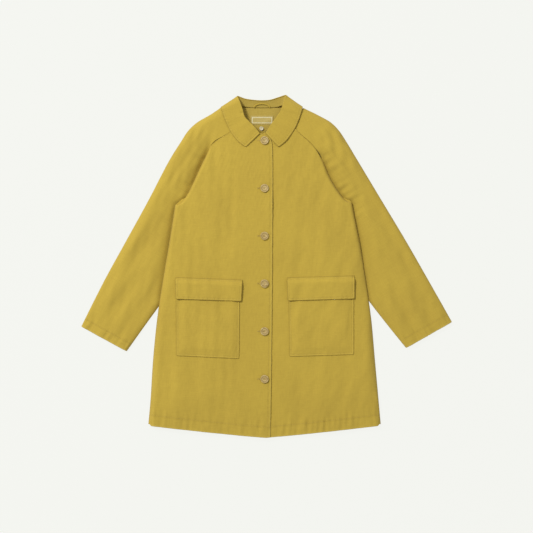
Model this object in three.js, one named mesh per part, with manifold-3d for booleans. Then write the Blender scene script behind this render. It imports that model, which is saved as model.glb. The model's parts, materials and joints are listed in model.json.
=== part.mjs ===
// A raglan canvas coat, buttoned and laid on its back. Millimetres, +Z up from the surface it lies on.
// +Y runs towards the collar and the wearer's right side is at -X. Every piece of cloth is its own closed
// solid, one seam clearance from the next. Plan sizes are measured from the centre line of the back.
import * as THREE from "three";
import { mergeVertices } from "three/addons/utils/BufferGeometryUtils.js";
import Module from "manifold-3d";

const wasm = await Module();
wasm.setup();

// Driving sizes.
const CLOTH = 1.4; // canvas with its seam allowances, pressed
const FACING = 1.0; // the lighter cloth of facings
const GAP = 0.3; // clearance between pieces that touch
const LOFT = 26; // outer face of the buttoned front above the surface
const SLEEVE_LOFT = 20;
const SEAM_ROUND = 60; // how far in from a side seam the cloth reaches its full height
const TUCK_LIFT = 10; // how far the body is lifted by the sleeve that lies under its side

const ARMPIT = { x: 247, y: 170 };
const HEM_SIDE = { x: 320, y: -434 };
const HEM_DROP = 38; // how much lower the hem is at the centre front
const SIDE_FLARE = 1.4; // power of the curve of the side seam
const NECK_Y = 438; // back neck seam
const NECK_HALF = 72; // half of the neck's width at the shoulders
const RAGLAN_TOP = { x: 78, y: 392 };
const FRONT_TOP_Y = 364; // top of the front edges
const OVERLAP = 22; // each front reaches this far past the centre line
const CORNER_Y = 338; // where the buttoned edge's top corner starts to slope off, clear of the collar
const FOLD_TOP_X = 19; // the fold that the buttoned edge opens on, at the neck
const FOLD_HEM_X = 55; // and at the hem

const SHOULDER_END = { x: 257, y: 298 }; // where the sleeve's outer edge becomes straight
const SLEEVE_LENGTH = 522; // from there to the hem of the sleeve
const BESIDE_ARMPIT = 100; // how far down the straight edge lies the point across from the armpit
const CUFF = 146; // width of the sleeve at its hem
const CUFF_SKEW = 3; // degrees
const SLEEVE_ANGLE = { right: 28.6, left: 29.6 }; // degrees from the centre line
const TUCK = { x: 172, y: -12 }; // guides the underarm fold that lies beneath the body
const FOREARM = 118; // length of the part that folds back
const UNDERARM_FOLD_AT = 0.857; // where the underarm edge meets that fold

const BUTTON = { count: 6, radius: 11.5, height: 3.2, topY: 346, pitch: 131, hole: 1.1, holeRing: 2.6 };
const SPARE = { radius: 5.75, height: 2.2, x: -8.5, y: 381 };
const THREAD_RADIUS = 1.5;
const SLIT = { length: 24, pastCentre: 5 };

const POCKET = { width: 174, height: 209, x: 154, room: 4.8, edge: 14 };
const POCKET_TOP = { right: -40, left: -35 };
const POCKET_TILT = { right: 2.2, left: 1.5 }; // degrees, the outer end higher
const FLAP = { width: 183, height: 62, overTop: 6, rise: 14 };
const MOUTH = 10; // how far the pocket's mouth lies below the top of the pocket's outline

const COLLAR_SHIFT = -6; // the collar lies a little towards the wearer's right
const ROLL_TOP = { x: 62, y: 466 }; // where the roll line turns round the back of the neck
const LEAF = { hingeTop: [54, 418], hingeEnd: [6, 362], tip: [44, 328], outer: [96, 383] };
const COLLAR_OUTER = { x: 109, y: 440 };
const COLLAR_PEAK = { x: 66, y: 473 };
const STAND = { width: 21, backRise: 9 };
const BACK_FALL = { bottomY: 396, rise: 24 };
const LOOP = { span: 48, rise: 12, band: 4.5, x: -7 };
const LABEL = { width: 62, height: 24, thick: 0.6, x: -7, y: 404 };
const NECK_FACING_BOTTOM = 372;

const COLOURS = { canvas: 0xbea344, inside: 0xae9540, button: 0xc9b27a, thread: 0xb59c4a, label: 0xb7a254, spare: 0xe0d6b8 };

// Layers at the centre front, each given by the underside of its cloth.
const RIGHT_FRONT_Z = LOFT - CLOTH;
const RIGHT_FACING_Z = RIGHT_FRONT_Z - GAP - FACING;
const LEFT_FRONT_Z = RIGHT_FACING_Z - GAP - CLOTH;
const LEFT_FACING_Z = LEFT_FRONT_Z - GAP - FACING;
const NECK_LIFT = CLOTH + GAP; // the back neck lies on the collar's back fall
const SEAM_Z = 5; // height of side and shoulder seams

const clamp = THREE.MathUtils.clamp;
const lerp = THREE.MathUtils.lerp;
function smooth(value, from, to) {
  const t = clamp((value - from) / (to - from), 0, 1);
  return t * t * (3 - 2 * t);
}
const point = (x, y) => new THREE.Vector2(x, y);
const rad = THREE.MathUtils.degToRad;

// Plan curves of one half, with x measured outwards from the centre line.
const bezier = (a, b, c, d) => new THREE.CubicBezierCurve(point(...a), point(...b), point(...c), point(...d));
const raglanFront = bezier([RAGLAN_TOP.x, RAGLAN_TOP.y], [160, 335], [165, 240], [ARMPIT.x, ARMPIT.y]);
const raglanBack = bezier([NECK_HALF - 10, NECK_Y], [135, 370], [143, 240], [ARMPIT.x, ARMPIT.y]);
const shoulder = bezier([NECK_HALF + 40, 441], [200, 405], [228, 355], [SHOULDER_END.x, SHOULDER_END.y]);

const sample = (curve, count, from = 0, to = 1) =>
  Array.from({ length: count + 1 }, (_, i) => curve.getPoint(lerp(from, to, i / count)));
const line = (a, b) => new THREE.LineCurve(a, b);

// The x of a curve at a given y, for a curve whose y falls from its first point to its last.
function acrossAt(curve, y) {
  let low = 0;
  let high = 1;
  for (let step = 0; step < 24; step++) {
    const middle = (low + high) / 2;
    if (curve.getPoint(middle).y > y) low = middle;
    else high = middle;
  }
  return curve.getPoint(low).x;
}

function halfWidth(y) {
  const up = clamp((y - HEM_SIDE.y) / (ARMPIT.y - HEM_SIDE.y), 0, 1);
  return HEM_SIDE.x - (HEM_SIDE.x - ARMPIT.x) * up ** SIDE_FLARE;
}

const hemY = (x) => HEM_SIDE.y - HEM_DROP * (1 - (Math.abs(x) / HEM_SIDE.x) ** 1.2);
const foldX = (y) => -lerp(FOLD_TOP_X, FOLD_HEM_X, (FRONT_TOP_Y - y) / (FRONT_TOP_Y - HEM_SIDE.y + HEM_DROP));
const ease = (value) => Math.sin((clamp(value, 0, 1) * Math.PI) / 2);

// How much of the tucked sleeve lies under the body's side at this height, from 0 to 1.
const tucked = (y) => smooth(y, ARMPIT.y + 46, ARMPIT.y + 4) * smooth(y, -185, -125);
const sideSeamZ = (y) => lerp(SEAM_Z, TUCK_LIFT + CLOTH + GAP, tucked(y));

// Underside of a front at a point, for the layer whose underside is crown away from the seams.
function frontZ(crown, x, y) {
  const reach = Math.abs(x);
  const inset = y > ARMPIT.y ? acrossAt(raglanFront, y) - reach : halfWidth(y) - reach;
  const fall = 1 - smooth(y, ARMPIT.y, ARMPIT.y + 95);
  return crown - (crown - sideSeamZ(y) - GAP) * fall * (1 - ease(inset / SEAM_ROUND));
}

// Underside of the back: flat on the surface, lifted over tucked sleeves and rising to the side seams.
function backZ(x, y) {
  const inset = halfWidth(y) - Math.abs(x);
  const lift = TUCK_LIFT * tucked(y) * smooth(inset, 128, 68);
  const rise = y < ARMPIT.y ? (sideSeamZ(y) - CLOTH) * (1 - ease(inset / SEAM_ROUND)) : 0;
  return Math.max(lift, rise) + NECK_LIFT * smooth(y, 330, 372);
}

// A closed solid between two edges, given as equally many plan points. height(x, y, along, across) is its underside.
// sag is how much lower its first row hangs in the middle.
function sheet(edgeA, edgeB, columns, height, thickness, sag = 0) {
  const rows = edgeA.length - 1;
  const geometry = new THREE.BoxGeometry(1, 1, 1, columns.length - 1, rows, 1);
  const position = geometry.getAttribute("position");
  for (let i = 0; i < position.count; i++) {
    const column = Math.round((position.getX(i) + 0.5) * (columns.length - 1));
    const row = Math.round((position.getY(i) + 0.5) * rows);
    const across = columns[column];
    const x = lerp(edgeA[row].x, edgeB[row].x, across);
    const droop = sag * (1 - row / rows) * (1 - Math.abs(2 * across - 1) ** 1.2);
    const y = lerp(edgeA[row].y, edgeB[row].y, across) - droop;
    const z = height(x, y, row / rows, across);
    position.setXYZ(i, x, y, position.getZ(i) > 0 ? z + thickness : z);
  }
  return facedOut(geometry);
}

// The merged geometry, with its triangles turned round if they point inwards.
function facedOut(geometry) {
  geometry.deleteAttribute("normal");
  geometry.deleteAttribute("uv");
  const merged = mergeVertices(geometry, 1e-4);
  const at = merged.getAttribute("position");
  const index = merged.getIndex().array;
  const [a, b, c] = [new THREE.Vector3(), new THREE.Vector3(), new THREE.Vector3()];
  let volume = 0;
  for (let i = 0; i < index.length; i += 3) {
    a.fromBufferAttribute(at, index[i]);
    b.fromBufferAttribute(at, index[i + 1]);
    c.fromBufferAttribute(at, index[i + 2]);
    volume += a.dot(b.cross(c));
  }
  if (volume < 0) for (let i = 0; i < index.length; i += 3) [index[i + 1], index[i + 2]] = [index[i + 2], index[i + 1]];
  merged.clearGroups();
  return merged;
}

// Booleans on closed geometries.
function toSolid(geometry) {
  const bare = facedOut(geometry);
  return new wasm.Manifold(
    new wasm.Mesh({
      numProp: 3,
      vertProperties: new Float32Array(bare.getAttribute("position").array),
      triVerts: new Uint32Array(bare.getIndex().array),
    }),
  );
}

function toGeometry(solid) {
  const mesh = solid.getMesh();
  const geometry = new THREE.BufferGeometry();
  geometry.setAttribute("position", new THREE.BufferAttribute(new Float32Array(mesh.vertProperties), 3));
  return geometry.setIndex(new THREE.BufferAttribute(new Uint32Array(mesh.triVerts), 1));
}

const cut = (geometry, tools) => toGeometry(tools.reduce((rest, tool) => rest.subtract(toSolid(tool)), toSolid(geometry)));

const material = (name, roughness = 0.9) => new THREE.MeshStandardMaterial({ color: COLOURS[name], roughness, metalness: 0 });
const coat = new THREE.Group();
function add(name, geometry, colour = "canvas", parent = coat) {
  const mesh = new THREE.Mesh(geometry, material(colour, colour === "button" ? 0.45 : 0.9));
  mesh.name = name;
  parent.add(mesh);
  return mesh;
}

const mirrored = (points, side) => points.map((p) => point(side * p.x, p.y));
const SPLIT = 0.0015; // clearance between two pieces of one sheet, as a share of its width
const SIDE_COLUMNS = [0, 0.06, 0.14, 0.26];
const FRONT_COLUMNS = [0.26 + SPLIT, 0.6, 1];
const UNDER_COLUMNS = [0, 0.12, 0.24, 0.36, 0.48, 0.6];
const OVER_COLUMNS = [0.6 + SPLIT, 0.7, 0.8, 0.9, 1];
const SLEEVE_COLUMNS = [0, 0.1, 0.24, 0.42, 0.6, 0.78, 0.9, 1];

// Side edge of a front or back, from the hem up the side seam and along a raglan seam to the neck.
function sideEdge(side, raglan) {
  const seam = Array.from({ length: 9 }, (_, i) => {
    const y = lerp(HEM_SIDE.y, ARMPIT.y, i / 8);
    return point(halfWidth(y), y);
  });
  const upper = sample(raglan, 7).reverse().slice(1);
  return mirrored([...seam, ...upper], side);
}

// The inner edge of the same rows, along a line whose x is given at each height.
function innerEdge(count, acrossX, topY) {
  const bottom = hemY(acrossX(hemY(0)));
  return Array.from({ length: count }, (_, i) => {
    const y = lerp(bottom, topY, i / (count - 1));
    return point(acrossX(y), y);
  });
}

const buttonY = (i) => BUTTON.topY - i * BUTTON.pitch;

function addFronts() {
  const slits = Array.from({ length: BUTTON.count }, (_, i) => {
    const width = 2 * (THREAD_RADIUS + GAP);
    const slit = new THREE.BoxGeometry(SLIT.length, width, 4 * CLOTH);
    return slit.translate(SLIT.pastCentre - SLIT.length / 2, buttonY(i), RIGHT_FRONT_Z);
  });

  const rightSide = sideEdge(-1, raglanFront);
  const rightFold = innerEdge(rightSide.length, foldX, FRONT_TOP_Y);
  const rightZ = (x, y) => frontZ(RIGHT_FRONT_Z, x, y);
  add("right_front_panel", sheet(rightSide, rightFold, FRONT_COLUMNS, rightZ, CLOTH));
  add("right_front_side", sheet(rightSide, rightFold, SIDE_COLUMNS, rightZ, CLOTH));

  // The buttoned edge starts below the collar's corner, and its top corner is rounded off.
  const heights = [...innerEdge(8, () => 0, CORNER_Y).map((p) => p.y), CORNER_Y + 9, CORNER_Y + 18, FRONT_TOP_Y - 2];
  const stripFold = heights.map((y) => point(foldX(y) + GAP, y - 14 * smooth(y, CORNER_Y, FRONT_TOP_Y)));
  const stripEdge = heights.map((y) => point(OVERLAP - 25 * clamp((y - CORNER_Y) / 26, 0, 1), y));
  const strip = (z, thickness) => cut(sheet(stripFold, stripEdge, [0, 0.5, 1], () => z, thickness), slits);
  add("right_front_edge", strip(RIGHT_FRONT_Z, CLOTH));
  add("right_front_facing", strip(RIGHT_FACING_Z, FACING), "inside");

  const leftSide = sideEdge(1, raglanFront);
  const leftFold = innerEdge(leftSide.length, () => -OVERLAP, FRONT_TOP_Y - 2);
  const leftZ = (x, y) => frontZ(LEFT_FRONT_Z, x, y);
  add("left_front_panel", sheet(leftSide, leftFold, FRONT_COLUMNS, leftZ, CLOTH));
  add("left_front_side", sheet(leftSide, leftFold, SIDE_COLUMNS, leftZ, CLOTH));
  const facingOuter = innerEdge(9, () => 45, FRONT_TOP_Y);
  const facingInner = innerEdge(9, () => -OVERLAP, FRONT_TOP_Y - 2);
  add("left_front_facing", sheet(facingOuter, facingInner, [0, 1], () => LEFT_FACING_Z, FACING), "inside");
}

function addBack() {
  const right = sideEdge(-1, raglanBack);
  const left = sideEdge(1, raglanBack);
  const columns = [0, 0.03, 0.07, 0.12, 0.2, 0.5, 0.8, 0.88, 0.93, 0.97, 1];
  add("back_panel", sheet(right, left, columns, backZ, CLOTH, HEM_DROP - 2));

  const top = [point(-NECK_HALF + 12, NECK_Y - 1), point(NECK_HALF - 12, NECK_Y - 1)];
  const bottom = [point(-NECK_HALF - 8, NECK_FACING_BOTTOM), point(NECK_HALF + 8, NECK_FACING_BOTTOM)];
  const facingZ = NECK_LIFT + CLOTH + GAP;
  add("back_neck_facing", sheet(bottom, top, [0, 0.5, 1], () => facingZ, FACING), "inside");

  const labelZ = facingZ + FACING + GAP;
  const label = new THREE.BoxGeometry(LABEL.width, LABEL.height, LABEL.thick);
  add("neck_label", label.translate(LABEL.x, LABEL.y, labelZ + LABEL.thick / 2), "label");

  const thread = new THREE.CylinderGeometry(THREAD_RADIUS, THREAD_RADIUS, 1.2, 8).rotateX(Math.PI / 2);
  add("spare_button_thread", thread.translate(SPARE.x, SPARE.y, labelZ + 0.6), "thread");
  const spare = buttonGeometry(SPARE.radius, SPARE.height, 0.8, 1.5);
  add("spare_button", spare.translate(SPARE.x, SPARE.y, labelZ + 1.2 + GAP), "spare");
}

// A round four-hole button with a raised rim, standing on z = 0.
function buttonGeometry(radius, height, holeRadius, holeRing) {
  const profile = [
    point(0, 0),
    point(radius * 0.8, 0),
    point(radius, height * 0.45),
    point(radius * 0.97, height * 0.85),
    point(radius * 0.86, height),
    point(radius * 0.6, height * 0.68),
    point(0, height * 0.6),
  ];
  const disc = new THREE.LatheGeometry(profile, 16).rotateX(Math.PI / 2);
  const holes = [0, 1, 2, 3].map((i) => {
    const angle = Math.PI / 4 + (i * Math.PI) / 2;
    const hole = new THREE.CylinderGeometry(holeRadius, holeRadius, 3 * height, 6).rotateX(Math.PI / 2);
    return hole.translate(holeRing * Math.cos(angle), holeRing * Math.sin(angle), 0);
  });
  return cut(disc, holes);
}

function addButtons() {
  const threadBottom = LEFT_FRONT_Z + CLOTH + GAP;
  const threadTop = LOFT + 0.9;
  for (let i = 0; i < BUTTON.count; i++) {
    const thread = new THREE.CylinderGeometry(THREAD_RADIUS, THREAD_RADIUS, threadTop - threadBottom, 8);
    thread.rotateX(Math.PI / 2).translate(0, buttonY(i), (threadTop + threadBottom) / 2);
    add(`button_${i + 1}_thread`, thread, "thread");
    const button = buttonGeometry(BUTTON.radius, BUTTON.height, BUTTON.hole, BUTTON.holeRing);
    add(`button_${i + 1}`, button.translate(0, buttonY(i), threadTop + GAP), "button");
  }
}

// The edges of a sleeve in plan: the seam or underarm edge, and the outer edge, row by row from neck to hem.
function sleeveEdges(side, raglan) {
  const angle = rad(side < 0 ? SLEEVE_ANGLE.right : SLEEVE_ANGLE.left);
  const along = point(Math.sin(angle), -Math.cos(angle));
  const skewed = angle - rad(CUFF_SKEW);
  const cuffOuter = point(SHOULDER_END.x, SHOULDER_END.y).addScaledVector(along, SLEEVE_LENGTH);
  const cuffInner = cuffOuter.clone().add(point(-Math.cos(skewed), -Math.sin(skewed)).multiplyScalar(CUFF));
  const underarm = bezier([ARMPIT.x + 1, ARMPIT.y - 1], [215, 115], [TUCK.x, TUCK.y], [cuffInner.x, cuffInner.y]);
  const straight = line(point(SHOULDER_END.x, SHOULDER_END.y), cuffOuter);
  const bend = 1 - FOREARM / SLEEVE_LENGTH;
  const neck = point(NECK_HALF, 446);
  const inner = sample(raglan, 7).map((p) => point(p.x + GAP, p.y + GAP / 2));
  const outer = [neck, ...sample(shoulder, 5)];
  const upperInner = [...inner, ...sample(underarm, 8, 0, UNDERARM_FOLD_AT).slice(1)];
  const upperOuter = [...outer, ...sample(straight, 8, BESIDE_ARMPIT / SLEEVE_LENGTH, bend)];
  const lowerInner = sample(underarm, 4, UNDERARM_FOLD_AT, 1);
  const lowerOuter = sample(straight, 4, bend, 1);
  return {
    upper: [mirrored(upperInner, side), mirrored(upperOuter, side)],
    lower: [mirrored(lowerInner, side), mirrored(lowerOuter, side)],
  };
}

// Highest the sleeve's cloth may reach: under the body's lifted side, then sloping up away from it.
function sleeveCeiling(x, y) {
  const aside = Math.abs(x) - halfWidth(y);
  const out = y > ARMPIT.y ? Math.hypot(aside, y - ARMPIT.y) : aside;
  const under = TUCK_LIFT * tucked(y) - 3 * GAP;
  return under + 0.36 * Math.max(0, out - 22) + LOFT * (1 - tucked(y)) * smooth(out, 22, 60);
}

function addSleeves() {
  for (const [name, side] of [["right", -1], ["left", 1]]) {
    const crown = side < 0 ? RIGHT_FRONT_Z : LEFT_FRONT_Z;
    const profile = (low, top, edge, across) => {
      const rise = ease(across / 0.4);
      const fall = ease((1 - across) / 0.42);
      return across < 0.45 ? lerp(low, top, rise) : lerp(edge, top, fall);
    };
    const front = sleeveEdges(side, raglanFront);
    const back = sleeveEdges(side, raglanBack);
    const seamZ = SEAM_Z + GAP;
    const upperZ = (x, y, along, across) => {
      const below = smooth(along, 0.3, 0.62);
      const edgeZ = lerp(crown, 2 * CLOTH, smooth(along, 0.34, 0.5));
      const topZ = lerp(crown, SLEEVE_LOFT - CLOTH, below);
      const z = profile(edgeZ, topZ, seamZ, across);
      return y < ARMPIT.y + 24 ? Math.max(CLOTH + GAP, Math.min(z, sleeveCeiling(x, y) - CLOTH)) : z;
    };
    const lowerZ = (x, y, along, across) => {
      const z = profile(seamZ - 4 * (1 - along), SLEEVE_LOFT - CLOTH, seamZ, across);
      return Math.max(CLOTH + GAP, Math.min(z, sleeveCeiling(x, y) - CLOTH));
    };
    const backRise = (x, y, along, across) => {
      const outer = (seamZ - CLOTH - GAP) * (1 - ease((1 - across) / 0.3));
      return Math.max(outer, NECK_LIFT * smooth(y, 330, 372));
    };
    const forearmRise = (x, y, along, across) => {
      const outer = (seamZ - CLOTH - GAP) * (1 - ease((1 - across) / 0.3));
      const inner = Math.max(0, lowerZ(x, y, along, 0) - CLOTH - GAP) * (1 - ease(across / 0.3));
      return outer + inner;
    };
    add(`${name}_sleeve_front`, sheet(...front.upper, UNDER_COLUMNS, upperZ, CLOTH));
    add(`${name}_sleeve_over`, sheet(...front.upper, OVER_COLUMNS, upperZ, CLOTH));
    add(`${name}_sleeve_back`, sheet(...back.upper, SLEEVE_COLUMNS, backRise, CLOTH));
    const shifted = ([a, b]) => {
      const along = point(b.at(-1).x - b[0].x, b.at(-1).y - b[0].y).normalize().multiplyScalar(GAP);
      return [a.map((p) => p.clone().add(along)), b.map((p) => p.clone().add(along))];
    };
    add(`${name}_cuff_front`, sheet(...shifted(front.lower), SLEEVE_COLUMNS, lowerZ, CLOTH));
    add(`${name}_cuff_back`, sheet(...shifted(back.lower), SLEEVE_COLUMNS, forearmRise, CLOTH));
  }
}

function addPockets() {
  for (const [name, side] of [["right", -1], ["left", 1]]) {
    const panelTop = (side < 0 ? RIGHT_FRONT_Z : LEFT_FRONT_Z) + CLOTH;
    const middle = point(side * POCKET.x, POCKET_TOP[name]);
    const corner = (x, y) => middle.clone().add(point(x, y)).rotateAround(middle, side * rad(POCKET_TILT[name]));
    const half = POCKET.width / 2;
    const rows = [0, 0.07, 0.5, 1];
    const patchRows = (x) => rows.map((t) => corner(x, lerp(-POCKET.height, -MOUTH, t)));
    const swell = (along, across) => {
      const inset = Math.min(across, 1 - across) * POCKET.width;
      const up = rows[Math.round(along * (rows.length - 1))] * POCKET.height;
      return POCKET.room * ease(inset / POCKET.edge) * ease(up / POCKET.edge);
    };
    const columns = [0, 0.04, 0.08, 0.18, 0.34, 0.66, 0.82, 0.92, 0.96, 1];
    const base = (x, y) => frontZ(panelTop - CLOTH, x, y) + CLOTH + GAP;
    const patchZ = (x, y, along, across) => base(x, y) + swell(along, across);
    add(`${name}_pocket`, sheet(patchRows(-half), patchRows(half), columns, patchZ, CLOTH));

    const flapHalf = FLAP.width / 2;
    const drops = [0, FLAP.rise / FLAP.height, 1];
    const flapRows = (x) => drops.map((t) => corner(x, FLAP.overTop - FLAP.height * t));
    const over = POCKET.room + CLOTH + GAP;
    const flapZ = (x, y, along, across) => base(x, y) + over * (along > 0 ? 1 : 0);
    add(`${name}_pocket_flap`, sheet(flapRows(-flapHalf), flapRows(flapHalf), columns, flapZ, CLOTH));
  }
}

function addCollar() {
  const centre = COLLAR_SHIFT;
  for (const [name, side] of [["right", -1], ["left", 1]]) {
    const leafZ = LOFT + GAP;
    const at = ([x, y]) => point(centre + side * x, y);
    const hinge = sample(line(at(LEAF.hingeTop), at(LEAF.hingeEnd)), 4);
    const outer = sample(line(at(LEAF.outer), at(LEAF.tip)), 4);
    const thick = CLOTH + FACING;
    add(`${name}_collar_leaf`, sheet(hinge, outer, [0, 0.5, 1], () => leafZ, thick));

    // The part of the collar above the leaf, which goes round the neck to the back.
    const roll = [at(LEAF.hingeTop).add(point(0, 0.4)), at([ROLL_TOP.x, 444]), at([ROLL_TOP.x, ROLL_TOP.y])];
    const edge = [at(LEAF.outer).add(point(0, 0.4)), at([COLLAR_OUTER.x, COLLAR_OUTER.y]), at([COLLAR_PEAK.x, COLLAR_PEAK.y])];
    add(`${name}_collar_top`, sheet(roll, edge, [0, 0.5, 1], () => leafZ, thick));
  }

  // The stand's back part, seen inside the neck, slopes up from the neck seam to the roll line.
  const seam = [point(centre - ROLL_TOP.x + 3, NECK_Y + 1), point(centre, NECK_Y + 1), point(centre + ROLL_TOP.x - 3, NECK_Y + 1)];
  const roll = seam.map((p) => point(p.x, p.y + STAND.width));
  const seamZ = NECK_LIFT + CLOTH + GAP;
  add("collar_stand", sheet(seam, roll, [0, 0.5, 1], (x, y, a, across) => seamZ + STAND.backRise * across, CLOTH), "inside");

  // The back fall lies under the back of the neck, and its ends turn up to the shoulders.
  const wide = COLLAR_OUTER.x;
  const low = [-wide + 8, wide - 8].map((x) => point(centre + x, BACK_FALL.bottomY));
  const high = [-COLLAR_PEAK.x, COLLAR_PEAK.x].map((x) => point(centre + x, COLLAR_PEAK.y - 4));
  add("collar_back_fall", sheet(low, high, [0, 0.5, 1], () => 0, CLOTH));
}

function addHangerLoop() {
  const arc = (half, rise) =>
    Array.from({ length: 9 }, (_, i) => {
      const angle = (Math.PI * i) / 8;
      return point(LOOP.x - half * Math.cos(angle), NECK_Y + 1 + rise * Math.sin(angle));
    });
  const inner = arc(LOOP.span / 2 - LOOP.band, LOOP.rise - LOOP.band);
  const outer = arc(LOOP.span / 2, LOOP.rise);
  const lowest = NECK_LIFT + 2 * (CLOTH + GAP);
  const onStand = (x, y) => lowest + (STAND.backRise * (y - NECK_Y - 1)) / STAND.width;
  add("hanger_loop", sheet(inner, outer, [0, 1], onStand, CLOTH));
}

addBack();
addFronts();
addSleeves();
addPockets();
addCollar();
addHangerLoop();
addButtons();

// The origin goes to the middle of the lying coat, on the surface.
const middle = new THREE.Box3().setFromObject(coat).getCenter(new THREE.Vector3());
for (const mesh of coat.children) mesh.geometry.translate(-middle.x, -middle.y, 0);

export default coat;
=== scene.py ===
"""A raglan canvas coat, buttoned and lying on its back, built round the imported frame.

Lengths in this file are millimetres until a mesh is written. +Z points up out of the buttoned front, +Y
towards the collar, and the wearer's right side is at -X.
"""

from __future__ import annotations

import json
import logging
import math
import sys
from dataclasses import dataclass, field
from enum import Enum

import bpy
import numpy as np
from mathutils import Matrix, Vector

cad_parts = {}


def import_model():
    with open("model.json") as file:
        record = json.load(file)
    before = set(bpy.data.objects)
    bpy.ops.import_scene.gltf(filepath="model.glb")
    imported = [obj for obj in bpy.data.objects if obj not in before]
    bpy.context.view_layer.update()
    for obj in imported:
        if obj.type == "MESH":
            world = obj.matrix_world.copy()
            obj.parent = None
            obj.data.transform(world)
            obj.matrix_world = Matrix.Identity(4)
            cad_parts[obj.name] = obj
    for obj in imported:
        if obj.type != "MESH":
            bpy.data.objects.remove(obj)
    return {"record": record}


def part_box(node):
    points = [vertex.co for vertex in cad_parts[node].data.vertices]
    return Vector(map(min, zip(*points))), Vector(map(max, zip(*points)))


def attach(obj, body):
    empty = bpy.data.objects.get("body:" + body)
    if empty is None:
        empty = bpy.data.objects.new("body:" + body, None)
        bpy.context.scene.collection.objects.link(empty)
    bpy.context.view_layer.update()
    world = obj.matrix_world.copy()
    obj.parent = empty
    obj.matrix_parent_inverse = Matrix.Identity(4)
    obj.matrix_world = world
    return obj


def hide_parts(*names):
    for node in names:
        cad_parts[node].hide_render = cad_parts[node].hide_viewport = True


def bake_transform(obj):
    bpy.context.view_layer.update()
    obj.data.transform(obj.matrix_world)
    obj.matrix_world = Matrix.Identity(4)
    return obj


LOG = logging.getLogger("coat")
MM = 0.001
FLOOR = 60000.0  # half the width of the studio ground
Array = np.ndarray
Points = tuple[tuple[float, float], ...]


class Side(Enum):
    """The wearer's right and left, as the sign of X."""

    RIGHT = -1
    LEFT = 1

    @property
    def word(self) -> str:
        """The side's name in piece and body names."""
        return self.name.lower()


class Slot(Enum):
    """Which of a piece's two materials a face takes."""

    CLOTH = 0
    THREAD = 1


# ---------------------------------------------------------------------------------------------------------
# Shapes as arrays
# ---------------------------------------------------------------------------------------------------------


def smooth(value: Array | float, start: float, stop: float) -> Array:
    """Goes from 0 at start to 1 at stop along the cubic 3t^2 - 2t^3."""
    t = np.clip((np.asarray(value, float) - start) / (stop - start), 0.0, 1.0)
    return t * t * (3.0 - 2.0 * t)


def round_over(distance: Array, radius: Array | float) -> Array:
    """Quarter of an ellipse: 0 at the edge, 1 once the distance from it reaches the radius."""
    t = np.clip(np.asarray(distance, float) / radius, 0.0, 1.0)
    return np.sqrt(np.maximum(1.0 - (1.0 - t) ** 2, 0.0))


def bump(distance: Array, width: float) -> Array:
    """A bell of height 1 that falls to 1/e at the given width."""
    return np.exp(-((np.asarray(distance, float) / width) ** 2))


def rim_wear(distance: Array) -> Array:
    """Wear and painted shade across a turned edge: its very rim is painted dark as shade, the ridge just
    inside it is rubbed pale.
    """
    return 0.5 * bump(distance - 3.4, 1.4) - 0.85 * bump(distance, 1.5)


def ripple(x: Array, y: Array, across: float, along: float, seed: int, waves: int = 9) -> Array:
    """Smooth irregular waves, made by adding plane waves of random direction and phase.

    Args:
        x: Positions across the cloth.
        y: Positions along the cloth, of the same shape.
        across: Typical wavelength in x.
        along: Typical wavelength in y.
        seed: Seed of the directions and phases.
        waves: How many plane waves are added.

    Returns:
        Heights with a mean near 0 and a spread near 1.
    """
    rng = np.random.default_rng(seed)
    total = np.zeros(np.broadcast(x, y).shape)
    for angle, pace, phase in zip(
        rng.uniform(0, 2 * np.pi, waves),
        rng.uniform(0.6, 1.5, waves),
        rng.uniform(0, 2 * np.pi, waves),
        strict=True,
    ):
        turn = 2 * np.pi * pace * (np.cos(angle) * x / across + np.sin(angle) * y / along)
        total += np.sin(turn + phase)
    return total * math.sqrt(2.0 / waves)


def curve(points: Points, count: int = 600) -> Array:
    """A smooth curve through points: cubic pieces whose slope at a point is that of the chord round it.

    Args:
        points: Points in order, of two or three coordinates.
        count: How many points the result has, evenly spaced along its length.

    Returns:
        Array of shape (count, coordinates).
    """
    p = np.array(points, float)
    knots = np.concatenate([[0], np.cumsum(np.sqrt(np.linalg.norm(np.diff(p, axis=0), axis=1)))])
    slope = np.gradient(p, knots, axis=0)
    t = np.linspace(0, knots[-1], count * 4)
    i = np.clip(np.searchsorted(knots, t, side="right") - 1, 0, len(knots) - 2)
    span = (knots[i + 1] - knots[i])[:, None]
    s = ((t - knots[i])[:, None]) / span
    dense = (
        (2 * s**3 - 3 * s**2 + 1) * p[i]
        + (s**3 - 2 * s**2 + s) * span * slope[i]
        + (3 * s**2 - 2 * s**3) * p[i + 1]
        + (s**3 - s**2) * span * slope[i + 1]
    )
    return at_fractions(dense, np.linspace(0, 1, count))


def lengths(path: Array) -> Array:
    """Distance along a path from its start to each of its points."""
    return np.concatenate([[0.0], np.cumsum(np.linalg.norm(np.diff(path, axis=0), axis=1))])


def at_fractions(path: Array, fractions: Array) -> Array:
    """Points at the given fractions of a path's length."""
    far = lengths(path)
    return np.stack([np.interp(fractions * far[-1], far, path[:, k]) for k in range(path.shape[1])], axis=1)


def graded(length: float, coarse: float, start: float, stop: float) -> Array:
    """Positions from 0 to length whose spacing grows from a fine value at each end to a coarse one between.

    Args:
        length: The whole length.
        coarse: Widest spacing.
        start: Spacing at 0.
        stop: Spacing at the far end.

    Returns:
        Increasing positions, the first 0 and the last equal to length.
    """
    at = [0.0]
    while at[-1] < length:
        at.append(at[-1] + min(coarse, start + 0.16 * at[-1], stop + 0.16 * max(length - at[-1], 0.0)))
    return np.array(at) * (length / at[-1])


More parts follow.
